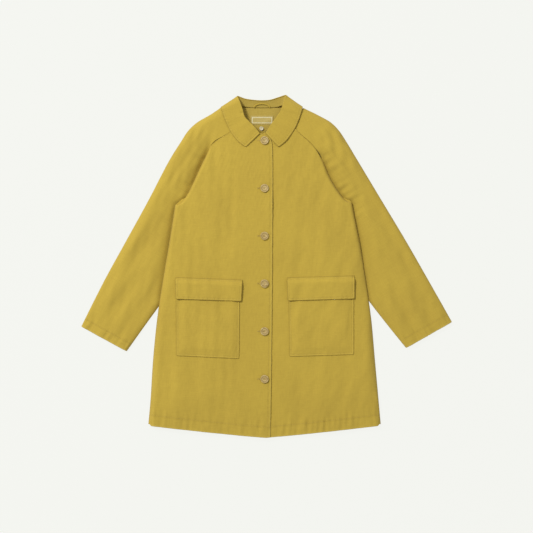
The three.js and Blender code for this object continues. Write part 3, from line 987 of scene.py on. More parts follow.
@dataclass
class FrontPanel:
    """One front, from its side to its front edge, with its hem, edge stitching and buttonholes."""

    side: Side
    frame: Frame
    lie: Lie = field(default_factory=Lie)
    stitch_in: float = 7.0
    hem_stitch: float = 27.0
    coarse: float = 3.7
    facing_width: float = 62.0
    facing_back: float = 1.6  # how far the facing stays behind the front edge
    facing_up: float = 2.2  # and above the hem
    facing_gap: float = 1.1
    hem_turn: float = 0.9  # thickness that the turned hem adds
    turned_over: float = 17.0  # how far past its hinge line the opened edge would stay bent; passed to Frame.bend, which does not bend the cloth

    def front_edge(self) -> Array:
        """The front edge from the hem to the neck; the buttoned edge's top corner is rounded.

        Returns:
            Array (n, 2).
        """
        if self.side is Side.RIGHT:
            return curve(
                ((11.5, -470), (14, -300), (16.5, -60), (17.5, 160), (17.5, 300), (15.6, 338), (11, 352),
                 (2, 361), (-9, 363.4), (-21, 363.6))
            )
        return curve(((-26, -471), (-26, -200), (-25, 100), (-24, 340), (-24, 362)))

    def plan(self) -> tuple[Array, Array, Array, Array, Array]:
        """The panel's grid in plan: straight lines from the side to the front edge.

        Returns:
            The grid, distances from the hem along the side, from the side and from the front edge, and for
            each row how far its side is a free fold and its rounding radius, stacked.
        """
        side, fold, radius = BodyOutline.of(self.side).front_edge_of_side()
        far = lengths(side)
        rows = graded(far[-1], self.coarse, 1.0, 1.6)
        fractions = rows / far[-1]
        edge = at_fractions(self.front_edge(), fractions)
        start = at_fractions(side, fractions)
        columns = graded(300.0, self.coarse, 0.9, 0.8) / 300.0
        grid = start[:, None] + (edge - start)[:, None] * columns[None, :, None]
        width = np.linalg.norm(edge - start, axis=1)[:, None]
        hem = self.hem_y(grid[..., 0])
        low = smooth(rows, 0, 90)[:, None]
        grid[..., 1] = (1 - low) * (hem + rows[:, None]) + low * grid[..., 1]
        rowwise = np.stack([np.interp(rows, far, fold), np.interp(rows, far, radius)])
        from_hem = np.broadcast_to(rows[:, None], grid.shape[:2])
        return grid, from_hem, columns * width, (1 - columns) * width, rowwise

    def hem_y(self, x: Array) -> Array:
        """The hem: it hangs lowest at the centre front and rises to the side seams in a shallow curve."""
        edge = 324 if self.side is Side.RIGHT else 316
        share = np.clip(np.abs(x) / edge, 0, 1)
        return -471.5 + 33 * share**1.15 + 5 * smooth(share, 0.975, 1.0)

    def surface(self) -> tuple[Array, Array, Array, Array, Array]:
        """The panel's outer face.

        Returns:
            Points, distance from the hem, from the side, from the front edge, and wear.
        """
        grid, from_hem, from_side, from_edge, (fold, radius) = self.plan()
        x, y = grid[..., 0], grid[..., 1]
        crown = self.lie.crown(x, y, self.side)
        edge = self.lie.side_edge(y)
        edge = edge * fold[:, None] + (crown - 0.5) * (1 - fold[:, None])
        z = edge + (crown - edge) * round_over(from_side, radius[:, None] * (0.25 + 0.75 * fold[:, None]))
        z += Pucker(0.75, 13, 28).at(x, from_hem - self.hem_stitch + 8, 41)
        z -= 0.5 * bump(from_hem - self.hem_stitch, 2.4)
        if self.side is Side.RIGHT:
            past_stitch = from_edge - self.stitch_in
            z += Pucker(0.16, 15, 9).at(y, past_stitch, 43) - 0.3 * bump(past_stitch, 1.5)
            z += 2.3 * bump(y - 168, 34) * (1 - smooth(from_edge, 0, 26))  # the edge gapes a little here
        else:
            crease = (x - 309) * 0.96 + (y + 370) * 0.28
            z += 3.0 * bump(crease, 5.5) * smooth(y, -412, -388) * smooth(y, -338, -362)
        # Pale where the hem and front edge rub; shade painted darker along the stitch grooves.
        wear = 0.9 * bump(from_hem, 2.2) - 0.35 * bump(from_hem - self.hem_stitch, 1.8)
        if self.side is Side.RIGHT:
            wear += 0.9 * bump(from_edge, 1.6) - 0.35 * bump(from_edge - self.stitch_in, 1.2)
        return np.concatenate([grid, z[..., None]], axis=2), from_hem, from_side, from_edge, wear

    def build(self, finishes: Finishes) -> bpy.types.Object:
        """Makes the panel.

        Args:
            finishes: The coat's materials.

        Returns:
            The panel.
        """
        top, from_hem, _, from_edge, wear = self.surface()
        hem_fold = self.hem_turn * (1 - smooth(from_hem, self.hem_stitch - 2, self.hem_stitch + 3))
        cloth = Cloth()
        cloth.slab(self._faced(top), self.lie.cloth + hem_fold, self._faced(top)[..., :2], self._faced(wear))
        row = int(np.argmin(np.abs(from_hem[:, 0] - self.hem_stitch)))
        cloth.stitch(top[row] + (0, 0, 0.1), Sewing())
        if self.side is Side.RIGHT:
            column = int(np.argmin(np.abs(from_edge[len(top) // 2] - self.stitch_in)))
            cloth.stitch(top[8:, column] + (0, 0, 0.1), Sewing())
            for number in range(1, 7):
                self._buttonhole(cloth, number)
        raglan = int(np.argmin(np.abs(top[:, 0, 1] - 322)))
        beside = int(np.argmin(np.abs(from_edge[0, 0] - from_edge[0] - 5.5)))
        cloth.stitch(top[raglan:, beside] + (0, 0, 0.1), Sewing())
        word = self.side.word
        piece = cloth.write(f"{word}_front_cloth", finishes.sewn)
        nodes = [f"{word}_front_panel", f"{word}_front_side"]
        if self.side is Side.RIGHT:
            nodes.append("right_front_edge")
            self.frame.bend(piece, "front_edge_open", 0.0, self.turned_over)
        else:
            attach(piece, "shell")
        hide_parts(*nodes)
        return piece

    def _faced(self, grid: Array) -> Array:
        """Columns in the order that makes faces point up on either side."""
        return grid if self.side is Side.RIGHT else grid[:, ::-1]

    def _buttonhole(self, cloth: Cloth, number: int) -> None:
        """A worked buttonhole: satin stitches across a stadium-shaped path round the slit.

        Args:
            cloth: The panel's cloth.
            number: Which button it belongs to.
        """
        button = (Frame.low(f"button_{number}") + Frame.high(f"button_{number}")) / 2
        half, ends = 1.15, np.array([-19.0, 2.5]) + button[0]
        turn = np.linspace(0, np.pi, 10)
        loop = np.concatenate(
            [
                np.stack([ends[1] + half * np.sin(turn), button[1] + half * np.cos(turn)], axis=1),
                np.stack([ends[0] - half * np.sin(turn), button[1] - half * np.cos(turn)], axis=1),
            ]
        )
        loop = np.concatenate([loop, loop[:1]])
        loop = at_fractions(loop, np.linspace(0, 1, 200))
        z = self.lie.crown(loop[:, 0], loop[:, 1], self.side) + 0.12
        cloth.stitch(np.column_stack([loop, z]), Sewing(0.85, 2.1, 0.85, 0.45), across=True)

    def build_facing(self, finishes: Finishes) -> bpy.types.Object:
        """Makes the facing behind the front edge.

        Args:
            finishes: The coat's materials.

        Returns:
            The facing.
        """
        top, _, _, from_edge, _ = self.surface()
        keep = from_edge[len(top) // 2] < self.facing_width
        grid = top[:, keep].copy()
        grid[..., 0] += self.facing_back * self.side.value
        grid[..., 1] += self.facing_up * (1 - smooth(np.arange(len(grid)), 0, 12))[:, None]
        grid[-6:, :, 1] -= np.linspace(0, 1.5, 6)[:, None]
        over_hem = self.hem_turn * (1 - smooth(grid[..., 1], -452, -438))
        grid[..., 2] -= self.lie.cloth + self.facing_gap + over_hem
        cloth = Cloth()
        face = self._faced(grid)
        cloth.slab(face, self.lie.facing, face[..., :2], np.zeros(face.shape[:2]))
        word = self.side.word
        piece = cloth.write(f"{word}_front_facing_cloth", finishes.lining)
        if self.side is Side.RIGHT:
            self.frame.bend(piece, "front_edge_open", 0.0, self.turned_over)
        else:
            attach(piece, "shell")
        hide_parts(f"{word}_front_facing")
        return piece


@dataclass
class BackPanel:
    """The back, from side seam to side seam, with its hem and the facing and label inside its neck."""

    frame: Frame
    lie: Lie = field(default_factory=Lie)
    coarse: float = 4.2

    def surface(self) -> tuple[Array, Array]:
        """The back's inner face, which is its upper one.

        Returns:
            Points and wear.
        """
        paths = []
        for side in Side:
            outline = BodyOutline.of(side)
            paths.append(np.concatenate([curve(outline.hem_to_armpit), curve(outline.back_raglan)[1:]]))
        length = lengths(paths[0])[-1]
        rows = graded(1.0, 0.0046, 0.0012, 0.002)
        start, stop = (at_fractions(path, rows) for path in paths)
        columns = graded(1.0, self.coarse / 600, 0.0016, 0.0016)
        grid = start[:, None] + (stop - start)[:, None] * columns[None, :, None]
        width = np.linalg.norm(stop - start, axis=1)[:, None]
        from_hem = rows * length
        x = grid[..., 0]
        share = np.clip(np.abs(x + 4) / 320, 0, 1)
        low = smooth(from_hem, 0, 90)[:, None]
        hem = -468.5 + 33 * share**1.15
        grid[..., 1] = (1 - low) * (hem + from_hem[:, None]) + low * grid[..., 1]
        y = grid[..., 1]
        inset = np.minimum(columns, 1 - columns) * width
        over_sleeve = self.lie.tuck * self.lie.tucked(y) * smooth(inset, 128, 62)
        flat = over_sleeve + self.lie.neck * smooth(y, 330, 372)
        above = y > 176
        edge = np.where(above, flat, self.lie.side_edge(y) - 1.7)
        z = np.maximum(flat, edge + (flat - edge) * round_over(inset, 30.0)) + 0.25 + self.lie.cloth
        hem_puckers = Pucker(0.2, 13, 24).at(x, from_hem[:, None] - 26, 44)
        z += 0.12 * (1 + np.tanh(ripple(x, y, 120, 160, 5))) + hem_puckers
        wear = np.broadcast_to(0.8 * bump(from_hem, 2.2)[:, None], x.shape)
        return np.concatenate([grid, z[..., None]], axis=2), wear

    def build(self, finishes: Finishes) -> bpy.types.Object:
        """Makes the back.

        Args:
            finishes: The coat's materials.

        Returns:
            The back.
        """
        top, wear = self.surface()
        cloth = Cloth()
        cloth.slab(top, self.lie.cloth, top[..., :2], wear)
        row = int(np.argmin(np.abs(top[:, len(top[0]) // 2, 1] + 441)))
        down = np.array([0.0, 0.0, -1.0])
        cloth.stitch(top[row, 4:-4] - (0, 0, self.lie.cloth), Sewing(height=0.2), up=down)
        piece = cloth.write("back_cloth", (finishes.canvas, finishes.thread))
        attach(piece, "shell")
        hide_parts("back_panel")
        return piece

    def build_facing(self, finishes: Finishes) -> bpy.types.Object:
        """Makes the facing inside the back neck: a band whose lower edge is a shallow curve.

        Args:
            finishes: The coat's materials.

        Returns:
            The facing.
        """
        low, high = self.frame.low("back_neck_facing"), self.frame.high("back_neck_facing")
        s = graded(1.0, 0.02, 0.004, 0.004)
        t = graded(1.0, 0.03, 0.012, 0.02)[:, None]
        bottom, top_y = low[1] + 9 * (2 * s - 1) ** 2, high[1] + 0.8
        half = 84 - 18 * t
        x = -7 + (2 * s - 1) * half
        y = bottom + (top_y - bottom) * t
        z = high[2] + 0.05 + 0.12 * ripple(x, y, 40, 30, 77)
        grid = np.stack([x, y, z], axis=2)
        cloth = Cloth()
        edge = y - bottom
        cloth.slab(grid, self.lie.facing, grid[..., :2], 0.7 * bump(edge, 1.6))
        row = int(np.argmin(np.abs(edge[:, len(s) // 2] - 4)))
        cloth.stitch(grid[row] + (0, 0, 0.1), Sewing())
        piece = cloth.write("back_neck_facing_cloth", finishes.lining)
        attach(piece, "shell")
        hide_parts("back_neck_facing")
        return piece


# ---------------------------------------------------------------------------------------------------------
# The sleeves
# ---------------------------------------------------------------------------------------------------------


@dataclass(frozen=True)
class SleeveOutline:
    """Plan curves of a sleeve, each from the neck to the cuff, and its angle from the centre line."""

    side: Side
    angle: float
    inner: Points
    crease: Points
    outer: Points

    @classmethod
    def of(cls, side: Side) -> SleeveOutline:
        """The outline of one sleeve.

        Args:
            side: Which sleeve.

        Returns:
            The outline.
        """
        if side is Side.RIGHT:
            return cls(
                side,
                28.6,
                ((-60, 420), (-84, 385), (-102, 366.6), (-120, 355.6), (-137.5, 346.6), (-152, 330),
                 (-152, 292), (-178, 235), (-205, 190), (-222, 146), (-226, 90), (-232, 20), (-256, -55),
                 (-295, -110), (-340, -172), (-384, -234)),
                ((-130, 440), (-150, 400), (-149, 377), (-161, 314), (-182, 271), (-212, 207),
                 (-226, 184), (-248, 168), (-257, 122), (-269, 47), (-283, -35), (-297, -114),
                 (-340, -172), (-384, -234)),
                ((-110, 450), (-121, 441), (-151, 420), (-190, 397), (-214, 375), (-236, 342),
                 (-267, 292), (-324.5, 182), (-385, 72), (-445.5, -38), (-510, -166)),
            )
        return cls(
            side,
            29.6,
            ((40, 420), (78, 382.6), (94, 364.6), (107, 353.8), (127, 335), (139.6, 318.6), (150, 300),
             (150, 268), (168, 232), (196, 190), (212, 146), (220, 90), (228, 20), (250, -50),
             (290, -104), (340, -168), (387, -226)),
            ((110, 440), (134, 400), (135, 377), (144, 336), (160, 286), (180, 238), (198, 209),
             (216, 185), (234, 176), (244, 134), (259, 60), (273, -30), (290, -107), (340, -168),
             (387, -226)),
            ((86, 452), (97, 441), (140, 419), (179, 397), (201, 375), (223, 342), (253, 292), (319, 182),
             (385, 72), (448, -38), (513, -153)),
        )

    @staticmethod
    def valley(side: Side, along: Array, beside: Array) -> Array:
        """How deep the sleeve dips at the body's crease: from nothing near the neck to full where they part.

        Args:
            side: Which sleeve.
            along: Distance down the sleeve.
            beside: Distance outwards from the crease; negative on the body's side of it.

        Returns:
            Share of the full depth.
        """
        merge = -201.0 if side is Side.RIGHT else -173.0  # where the raglan seam comes out of the crease
        parted = smooth(along, merge - 20, merge + 6)
        return smooth(along, merge - 44, merge + 24) * (1 - smooth(-beside, 0.0, 10.0) * (1 - parted))

    def rotated(self, points: Points) -> tuple[Array, Array]:
        """A curve's distances along the sleeve and across it, outwards.

        Args:
            points: The curve's plan points.

        Returns:
            Along, increasing, and across.
        """
        way, out = self.axes()
        path = curve(points)
        return path @ way, path @ out

    def axes(self) -> tuple[Array, Array]:
        """Unit vectors down the sleeve, and across it towards its outer edge."""
        a, s = math.radians(self.angle), self.side.value
        return np.array([s * math.sin(a), -math.cos(a)]), np.array([s * math.cos(a), math.sin(a)])


@dataclass
class Sleeve:
    """One raglan sleeve: a flattened tube that comes out from under the body's side."""

    side: Side
    frame: Frame
    lie: Lie = field(default_factory=Lie)
    coarse: float = 4.0
    seam: float = 7.0  # height of the outer fold
    low: float = 8.9  # how high the sleeve lies where the body covers it
    crown: float = 18.0
    cuff_crown: float = 14.5
    hem_stitch: float = 23.0
    parting: tuple[float, float] = (205.0, 262.0)  # how far down the sleeve it comes away from the body

    def valley(self, along: Array, beside: Array) -> Array:
        """Share of the full depth that the sleeve dips at the body's crease; none past where they part."""
        return SleeveOutline.valley(self.side, along, beside) * (1 - smooth(along, *self.parting))

    def heights(self, along: Array, across: Array, inner: Array, crease: Array, outer: Array) -> Array:
        """The sleeve's upper face: a crown that rounds down at its folds and dips beside the body's edge.

        Args:
            along: Distance down the sleeve from the neck, one for each row.
            across: Distance outwards, (rows, columns).
            inner: Across of the inner edge for each row.
            crease: Across of the body's edge for each row.
            outer: Across of the outer edge for each row.

        Returns:
            Heights in millimetres.
        """
        a, away = along[:, None], across - crease[:, None]
        level = self.lie.right if self.side is Side.RIGHT else self.lie.left
        level = level - (1 - smooth(a, -330, -275))
        crown = level - (level - self.crown) * smooth(a, -250, -60)
        crown = crown - (self.crown - self.cuff_crown) * smooth(a, 180, 390)
        crown = crown + 1.3 * ripple(across, a, 62, 240, 51 + self.side.value) * smooth(a, -250, -120)
        off_seam = smooth(a, -300, -240) * (0.35 + 0.65 * smooth(away, 4, 26))
        crumple = 0.9 * ripple(across, a, 30, 62, 53 + self.side.value) * off_seam
        crown = crown + crumple * (1 - 0.6 * smooth(a, -150, -20))
        beside = np.maximum(away, 0.0)
        share = self.valley(a, away)
        z = crown - (crown - self.low) * share * (0.55 * bump(beside, 28.0) + 0.45 * bump(beside, 8.0))
        drawn = Pucker(1.3, 21, 30).at(a, away, 71 + self.side.value)
        z += drawn * share * smooth(away, -2, 8) * smooth(a, 60, -20)
        end = self.seam + (z - self.seam) * round_over(outer[:, None] - across, 24.0)
        fold = smooth(a, -215, -190)
        start = self.seam * 0.8
        radius = 9.0 + 14.0 * smooth(a, 215, 262)
        under = start + (end - start) * round_over(across - inner[:, None], radius)
        return under * fold + end * (1 - fold)

    def build(self, finishes: Finishes) -> bpy.types.Object:
        """Makes the sleeve.

        Args:
            finishes: The coat's materials.

        Returns:
            The sleeve.
        """
        outline = SleeveOutline.of(self.side)
        way, out = outline.axes()
        edges = [outline.rotated(points) for points in (outline.inner, outline.crease, outline.outer)]
        first, last = max(e[0][0] for e in edges), min(edges[0][0][-1], edges[2][0][-1])
        along = first + graded(last - first, self.coarse, 3.0, 1.0)
        inner, crease, outer = (np.interp(along, *np.stack(e)[:, np.argsort(e[0])]) for e in edges)
        width = (outer - inner)[:, None]
        over = graded(1.0, self.coarse / 150, 0.009, 0.009)
        across = inner[:, None] + width * over
        from_cuff = (last - along)[:, None]
        top = self.heights(along, across, inner, crease, outer)
        top += Pucker(0.7, 12, 18).at(across, from_cuff - self.hem_stitch + 8, 61)
        top -= 0.45 * bump(from_cuff - self.hem_stitch, 2.4)
        beneath = 0.45 + 2.0 * smooth(along, -20, -60)[:, None] * (1 - smooth(over, 0.55, 0.9))
        rise = (top[:, :1] - beneath[:, :1] - 0.5) * (1 - round_over(across - inner[:, None], 16.0))
        outward = (self.seam - beneath - 0.5) * (1 - round_over(outer[:, None] - across, 20.0))
        free = 1 - smooth(-along, 190, 215)[:, None]
        bottom = beneath + np.maximum(rise, 0) * free + np.maximum(outward, 0)
        bottom = np.minimum(bottom, top - 2 * self.lie.cloth - 0.3)
        s = np.concatenate([across, across[:, -2:0:-1]], axis=1)
        z = np.concatenate([top, bottom[:, -2:0:-1]], axis=1)
        plan = s[..., None] * out + along[:, None, None] * way
        loop = np.concatenate([plan, z[..., None]], axis=2)
        grain = np.stack([s, np.broadcast_to(along[:, None], s.shape)], axis=2)
        beside = s - crease[:, None]
        # Painted shade: the cloth is coloured darker in the valley beside the body's crease, where shadow
        # falls.
        painted_shade = 0.75 * bump(beside, 6.5) + 0.3 * bump(beside, 24.0)
        # Pale where the cuff's edge rubs; shade painted darker along the hem stitches' groove.
        wear = 0.9 * bump(from_cuff, 2.2) - 0.3 * bump(from_cuff - self.hem_stitch, 1.8)
        wear = wear - self.valley(along[:, None], beside) * painted_shade
        hem = 0.8 * (1 - smooth(from_cuff, self.hem_stitch - 2, self.hem_stitch + 3))
        cloth = Cloth()
        turn = (lambda g: g[:, ::-1]) if self.side is Side.LEFT else (lambda g: g)
        thick = np.broadcast_to(self.lie.cloth + hem, s.shape)
        cloth.tube(turn(loop), turn(thick), turn(grain), turn(wear))
        row = int(np.argmin(np.abs(from_cuff[:, 0] - self.hem_stitch)))
        count = across.shape[1]
        cloth.stitch(loop[row, 2 : count - 2] + (0, 0, 0.1), Sewing())
        down = np.array([0.0, 0.0, -1.0])
        cloth.stitch(loop[row, count + 3 : -3] - (0, 0, 0.05), Sewing(height=0.2), up=down)
        word = self.side.word
        piece = cloth.write(f"{word}_sleeve_cloth", finishes.sewn)
        self.frame.bend(piece, f"{word}_forearm_fold", -3.0, 34.0)
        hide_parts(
            f"{word}_sleeve_front", f"{word}_sleeve_over", f"{word}_sleeve_back", f"{word}_cuff_front",
            f"{word}_cuff_back",
        )
        return piece


# ---------------------------------------------------------------------------------------------------------
# The collar
# ---------------------------------------------------------------------------------------------------------


@dataclass
class Collar:
    """The collar: a stand inside the neck that rolls over into two front leaves and a back fall."""

    frame: Frame
    thick: float = 1.8
    stand_thick: float = 0.9
    stitch_in: float = 4.6
    tip_round: float = 5.0
    # Each row is one place round the neck, from the right tip to the left: roll line, outer edge, neck seam.
    roll: Points = (
        (-17.3, 364.5, 29.4), (-31.6, 382, 30), (-46, 397, 30), (-58.6, 410.5, 29.9), (-65, 432, 29),
        (-73.5, 456, 27.5), (-79, 469, 16), (-58, 462.5, 12), (-38, 459.3, 11.2), (-12, 457.6, 11),
        (12, 459.4, 11.2), (34, 466, 12), (56, 471.5, 16), (50.5, 455, 27), (45, 438, 28.6), (38, 422, 29.5),
        (27, 406, 29.8), (14, 388.5, 29.8), (-1, 365, 29.3),
    )
    outer: Points = (
        (-56, 327, 28.9), (-79, 345.5, 29.2), (-98.5, 372, 29.2), (-112, 401, 29.2), (-119.5, 421, 28.6),
        (-122.5, 432, 27), (-123, 438, 13), (-104, 414, 0.9), (-62, 401, 0.75), (-12, 396, 0.75),
        (38, 401, 0.75), (80, 414, 0.9), (99.5, 439, 13), (99, 432, 24.5), (95, 418, 26.4), (88.5, 400, 26.8),
        (77, 375, 26.8), (56, 346, 26.6), (34.6, 327.6, 26.4),
    )
    seam: Points = (
        (-27, 354, 27.2), (-52, 367, 27.2), (-70, 384, 27.2), (-80, 404, 26.8), (-84, 420, 24),
        (-80, 434, 17), (-68, 443, 9.5), (-54, 440, 6.4), (-34, 438.4, 5.7), (-12, 438, 5.6),
        (12, 438.4, 5.7), (32, 440, 6.4), (45, 443, 9.5), (58, 434, 17), (63, 420, 24), (59, 404, 26.2),
        (47, 385, 26.9), (30, 368, 26.9), (8, 354, 26.9),
    )
    cuts: tuple[float, float] = (0.165, 0.835)  # shares of the stations where the leaves meet the back
    station_gap: float = 26.0  # usual distance between stations along the fall
    around: float = 700.0  # length of the collar as cut, for the run of its grain
    fall_depth: float = 60.0
    stand_depth: float = 26.0
    lying_above: float = 20.0  # stitches show where the outer edge is higher than this
    end_rows: int = 5  # rows of the grid from a leaf's front edge to its stitches
    sewing: Sewing = Sewing(3.2, 2.4, 0.7, 0.38)

    @staticmethod
    def down() -> Array:
        """Shares of the way from the roll line to the outer edge, for each column of the fall."""
        return graded(1.0, 0.045, 0.014, 0.013)

    def stations(self, count: int = 260) -> tuple[Array, Array, Array, Array]:
        """The three lines, sampled at the same places round the neck.

        Args:
            count: How many places.

        Returns:
            Share of the way round, then the roll line, outer edge and neck seam.
        """
        share = np.linspace(0, 1, count)
        lines = []
        for points in (self.roll, self.outer, self.seam):
            p = np.array(points, float)
            knots = np.linspace(0, 1, len(p))
            slope = np.gradient(p, knots, axis=0)
            i = np.clip((share * (len(p) - 1)).astype(int), 0, len(p) - 2)
            s = (share * (len(p) - 1) - i)[:, None]
            step = knots[1]
            lines.append(
                (2 * s**3 - 3 * s**2 + 1) * p[i]
                + (s**3 - 2 * s**2 + s) * step * slope[i]
                + (3 * s**2 - 2 * s**3) * p[i + 1]
                + (s**3 - s**2) * step * slope[i + 1]
            )
        return (share, *lines)

    def fall(self) -> tuple[Array, Array, Array]:
        """The outer part, from the roll line to the outer edge, with its tips rounded off.

        Returns:
            Points, wear and the share round the neck of each row.
        """
        share, roll, outer, _ = self.stations()
        t = self.down()
        length = np.linalg.norm(outer - roll, axis=1)[:, None]
        front = np.minimum(share, 1 - share)[:, None] * self.station_gap * (len(self.roll) - 1)
        from_edge = (1 - t) * length
        a = np.clip(1 - front / self.tip_round, 0, 1)
        b = np.clip(1 - from_edge / self.tip_round, 0, 1)
        pull = (b - b * np.sqrt(1 - a * a / 2)) * self.tip_round
        reach = np.clip(t * length - pull, 0, None) / length
        grid = roll[:, None] + (outer - roll)[:, None] * reach[..., None]
        skew = (a - a * np.sqrt(1 - b * b / 2)) * self.tip_round
        inward = roll[3] - roll[0], roll[-4] - roll[-1]
        ends = (share < 0.5, share >= 0.5)
        for end, way in zip(ends, inward, strict=True):
            grid[end] += skew[end][..., None] * way / np.linalg.norm(way)
        leaf = smooth(outer[:, None, 2], 18, 25)
        drop = leaf * reach + (1 - leaf) * round_over(reach * length, 12.0)
        z = roll[:, None, 2] + (outer - roll)[:, None, 2] * drop
        lying = smooth(z, 20, 26)
        z += 0.5 * np.sin(np.pi * np.clip(t, 0, 1)) * lying
        place = share[:, None] * self.around
        puckers = Pucker(0.18, 10, 8).at(place, from_edge - self.stitch_in, 72)
        z += lying * (0.3 * ripple(place, t * self.fall_depth, 55, 70, 71) + puckers)
        lines = bump(from_edge - self.stitch_in, 1.1) + bump(front - self.stitch_in, 1.3)
        z -= 0.28 * lines * lying
        notch = bump(share[:, None] - 0.197, 0.008) * (1 - smooth(t * length, 0, 12))
        z -= 2.2 * notch
        grid[..., 2] = z
        # Rubbed pale ridges, with shade painted darker on the rims and along the stitch grooves.
        wear = rim_wear(from_edge) + rim_wear(front) - 0.3 * lines
        return grid, np.clip(wear, -1, 1), share

    def build(self, finishes: Finishes) -> list[bpy.types.Object]:
        """Makes the leaves, the back fall and the stand.

        Args:
            finishes: The coat's materials.

        Returns:
            The pieces.
        """
        grid, wear, share = self.fall()
        steps = np.linalg.norm(np.diff(grid, axis=1), axis=2)
        down = np.cumsum(np.concatenate([np.zeros((len(grid), 1)), steps], axis=1), axis=1)
        place = np.dstack([np.broadcast_to(share[:, None] * self.around, wear.shape), down])
        cuts = [int(round(c * (len(share) - 1))) for c in self.cuts]
        parts = {
            "right_collar_leaf_cloth": (slice(0, cuts[0] + 1), Side.RIGHT),
            "collar_back_cloth": (slice(cuts[0], cuts[1] + 1), None),
            "left_collar_leaf_cloth": (slice(cuts[1], len(share)), Side.LEFT),
        }
        made = []
        for name, (rows, side) in parts.items():
            cloth = Cloth()
            cloth.slab(grid[rows][::-1], self.thick, place[rows][::-1], wear[rows][::-1])
            self._topstitch(cloth, grid, rows)
            piece = cloth.write(name, finishes.sewn)
            if side is None:
                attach(piece, "shell")
                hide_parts("collar_back_fall", "right_collar_top", "left_collar_top")
            else:
                self._hinge(piece, side)
                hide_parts(f"{side.word}_collar_leaf")
            made.append(piece)
        made.append(self._stand(finishes))
        return made

    def _topstitch(self, cloth: Cloth, grid: Array, rows: slice) -> None:
        """Stitches along the outer edge where it lies on the coat, and along the front edges of the leaves.

        Args:
            cloth: Cloth of the part.
            grid: The whole fall.
            rows: The part's rows.
        """
        t, last = self.down(), len(grid) - 1
        length = np.linalg.norm(grid[:, -1] - grid[:, 0], axis=1)
        column = 1 - self.stitch_in / np.maximum(length, 1)
        index = np.clip(np.searchsorted(t, column), 1, len(t) - 1)
        between = ((column - t[index - 1]) / (t[index] - t[index - 1]))[:, None]
        k = np.arange(len(grid))
        line = grid[k, index - 1] * (1 - between) + grid[k, index] * between
        run = line[max(rows.start, self.end_rows) : min(rows.stop, len(grid) - self.end_rows)]
        lying = run[:, 2] > self.lying_above
        for stretch in np.split(run, np.nonzero(np.diff(lying.astype(int)))[0] + 1):
            if stretch[0, 2] > self.lying_above and len(stretch) > 4:
                cloth.stitch(stretch + (0, 0, 0.12), self.sewing)
        for meets, row in (
            (rows.start == 0, self.end_rows - 1), (rows.stop == len(grid), last - self.end_rows + 1)
        ):
            if meets:
                cloth.stitch(grid[row, 2:-4] + (0, 0, 0.12), self.sewing)

    def _hinge(self, piece: bpy.types.Object, side: Side) -> None:
        """Bakes a leaf's placement into its points; it looks up the leaf's hinge axis but does not make the
        leaf turn.

        Args:
            piece: The leaf.
            side: Which leaf.
        """
        hinge = self.frame.joints[f"{side.word}_collar_lift"]
        way = np.array(hinge["axis"], float)
        way *= -1 if way[1] > 0 else 1
        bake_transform(piece)

    def _stand(self, finishes: Finishes) -> bpy.types.Object:
        """The stand: straight lines from the neck seam up to the roll line.

        Args:
            finishes: The coat's materials.

        Returns:
            The stand.
        """
        share, roll, _, seam = self.stations()
        t = graded(1.0, 0.08, 0.03, 0.03)
        top = roll - (0, 0, 1.5)
        grid = seam[:, None] + (top - seam)[:, None] * t[None, :, None]
        grid[..., 2] -= 0.5 * np.sin(np.pi * t)
        shape = grid.shape[:2]
        grain = np.dstack(np.broadcast_arrays(share[:, None] * self.around, t * 24))
        cloth = Cloth()
        # Shade painted darker along the neck seam at the stand's foot.
        wear = np.broadcast_to(-0.5 * bump(t * 22, 1.5), shape)
        cloth.slab(grid, self.stand_thick, grain, wear)
        piece = cloth.write("collar_stand_cloth", finishes.lining)
        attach(piece, "shell")
        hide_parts("collar_stand")
        return piece


# ---------------------------------------------------------------------------------------------------------
# The pockets
# ---------------------------------------------------------------------------------------------------------


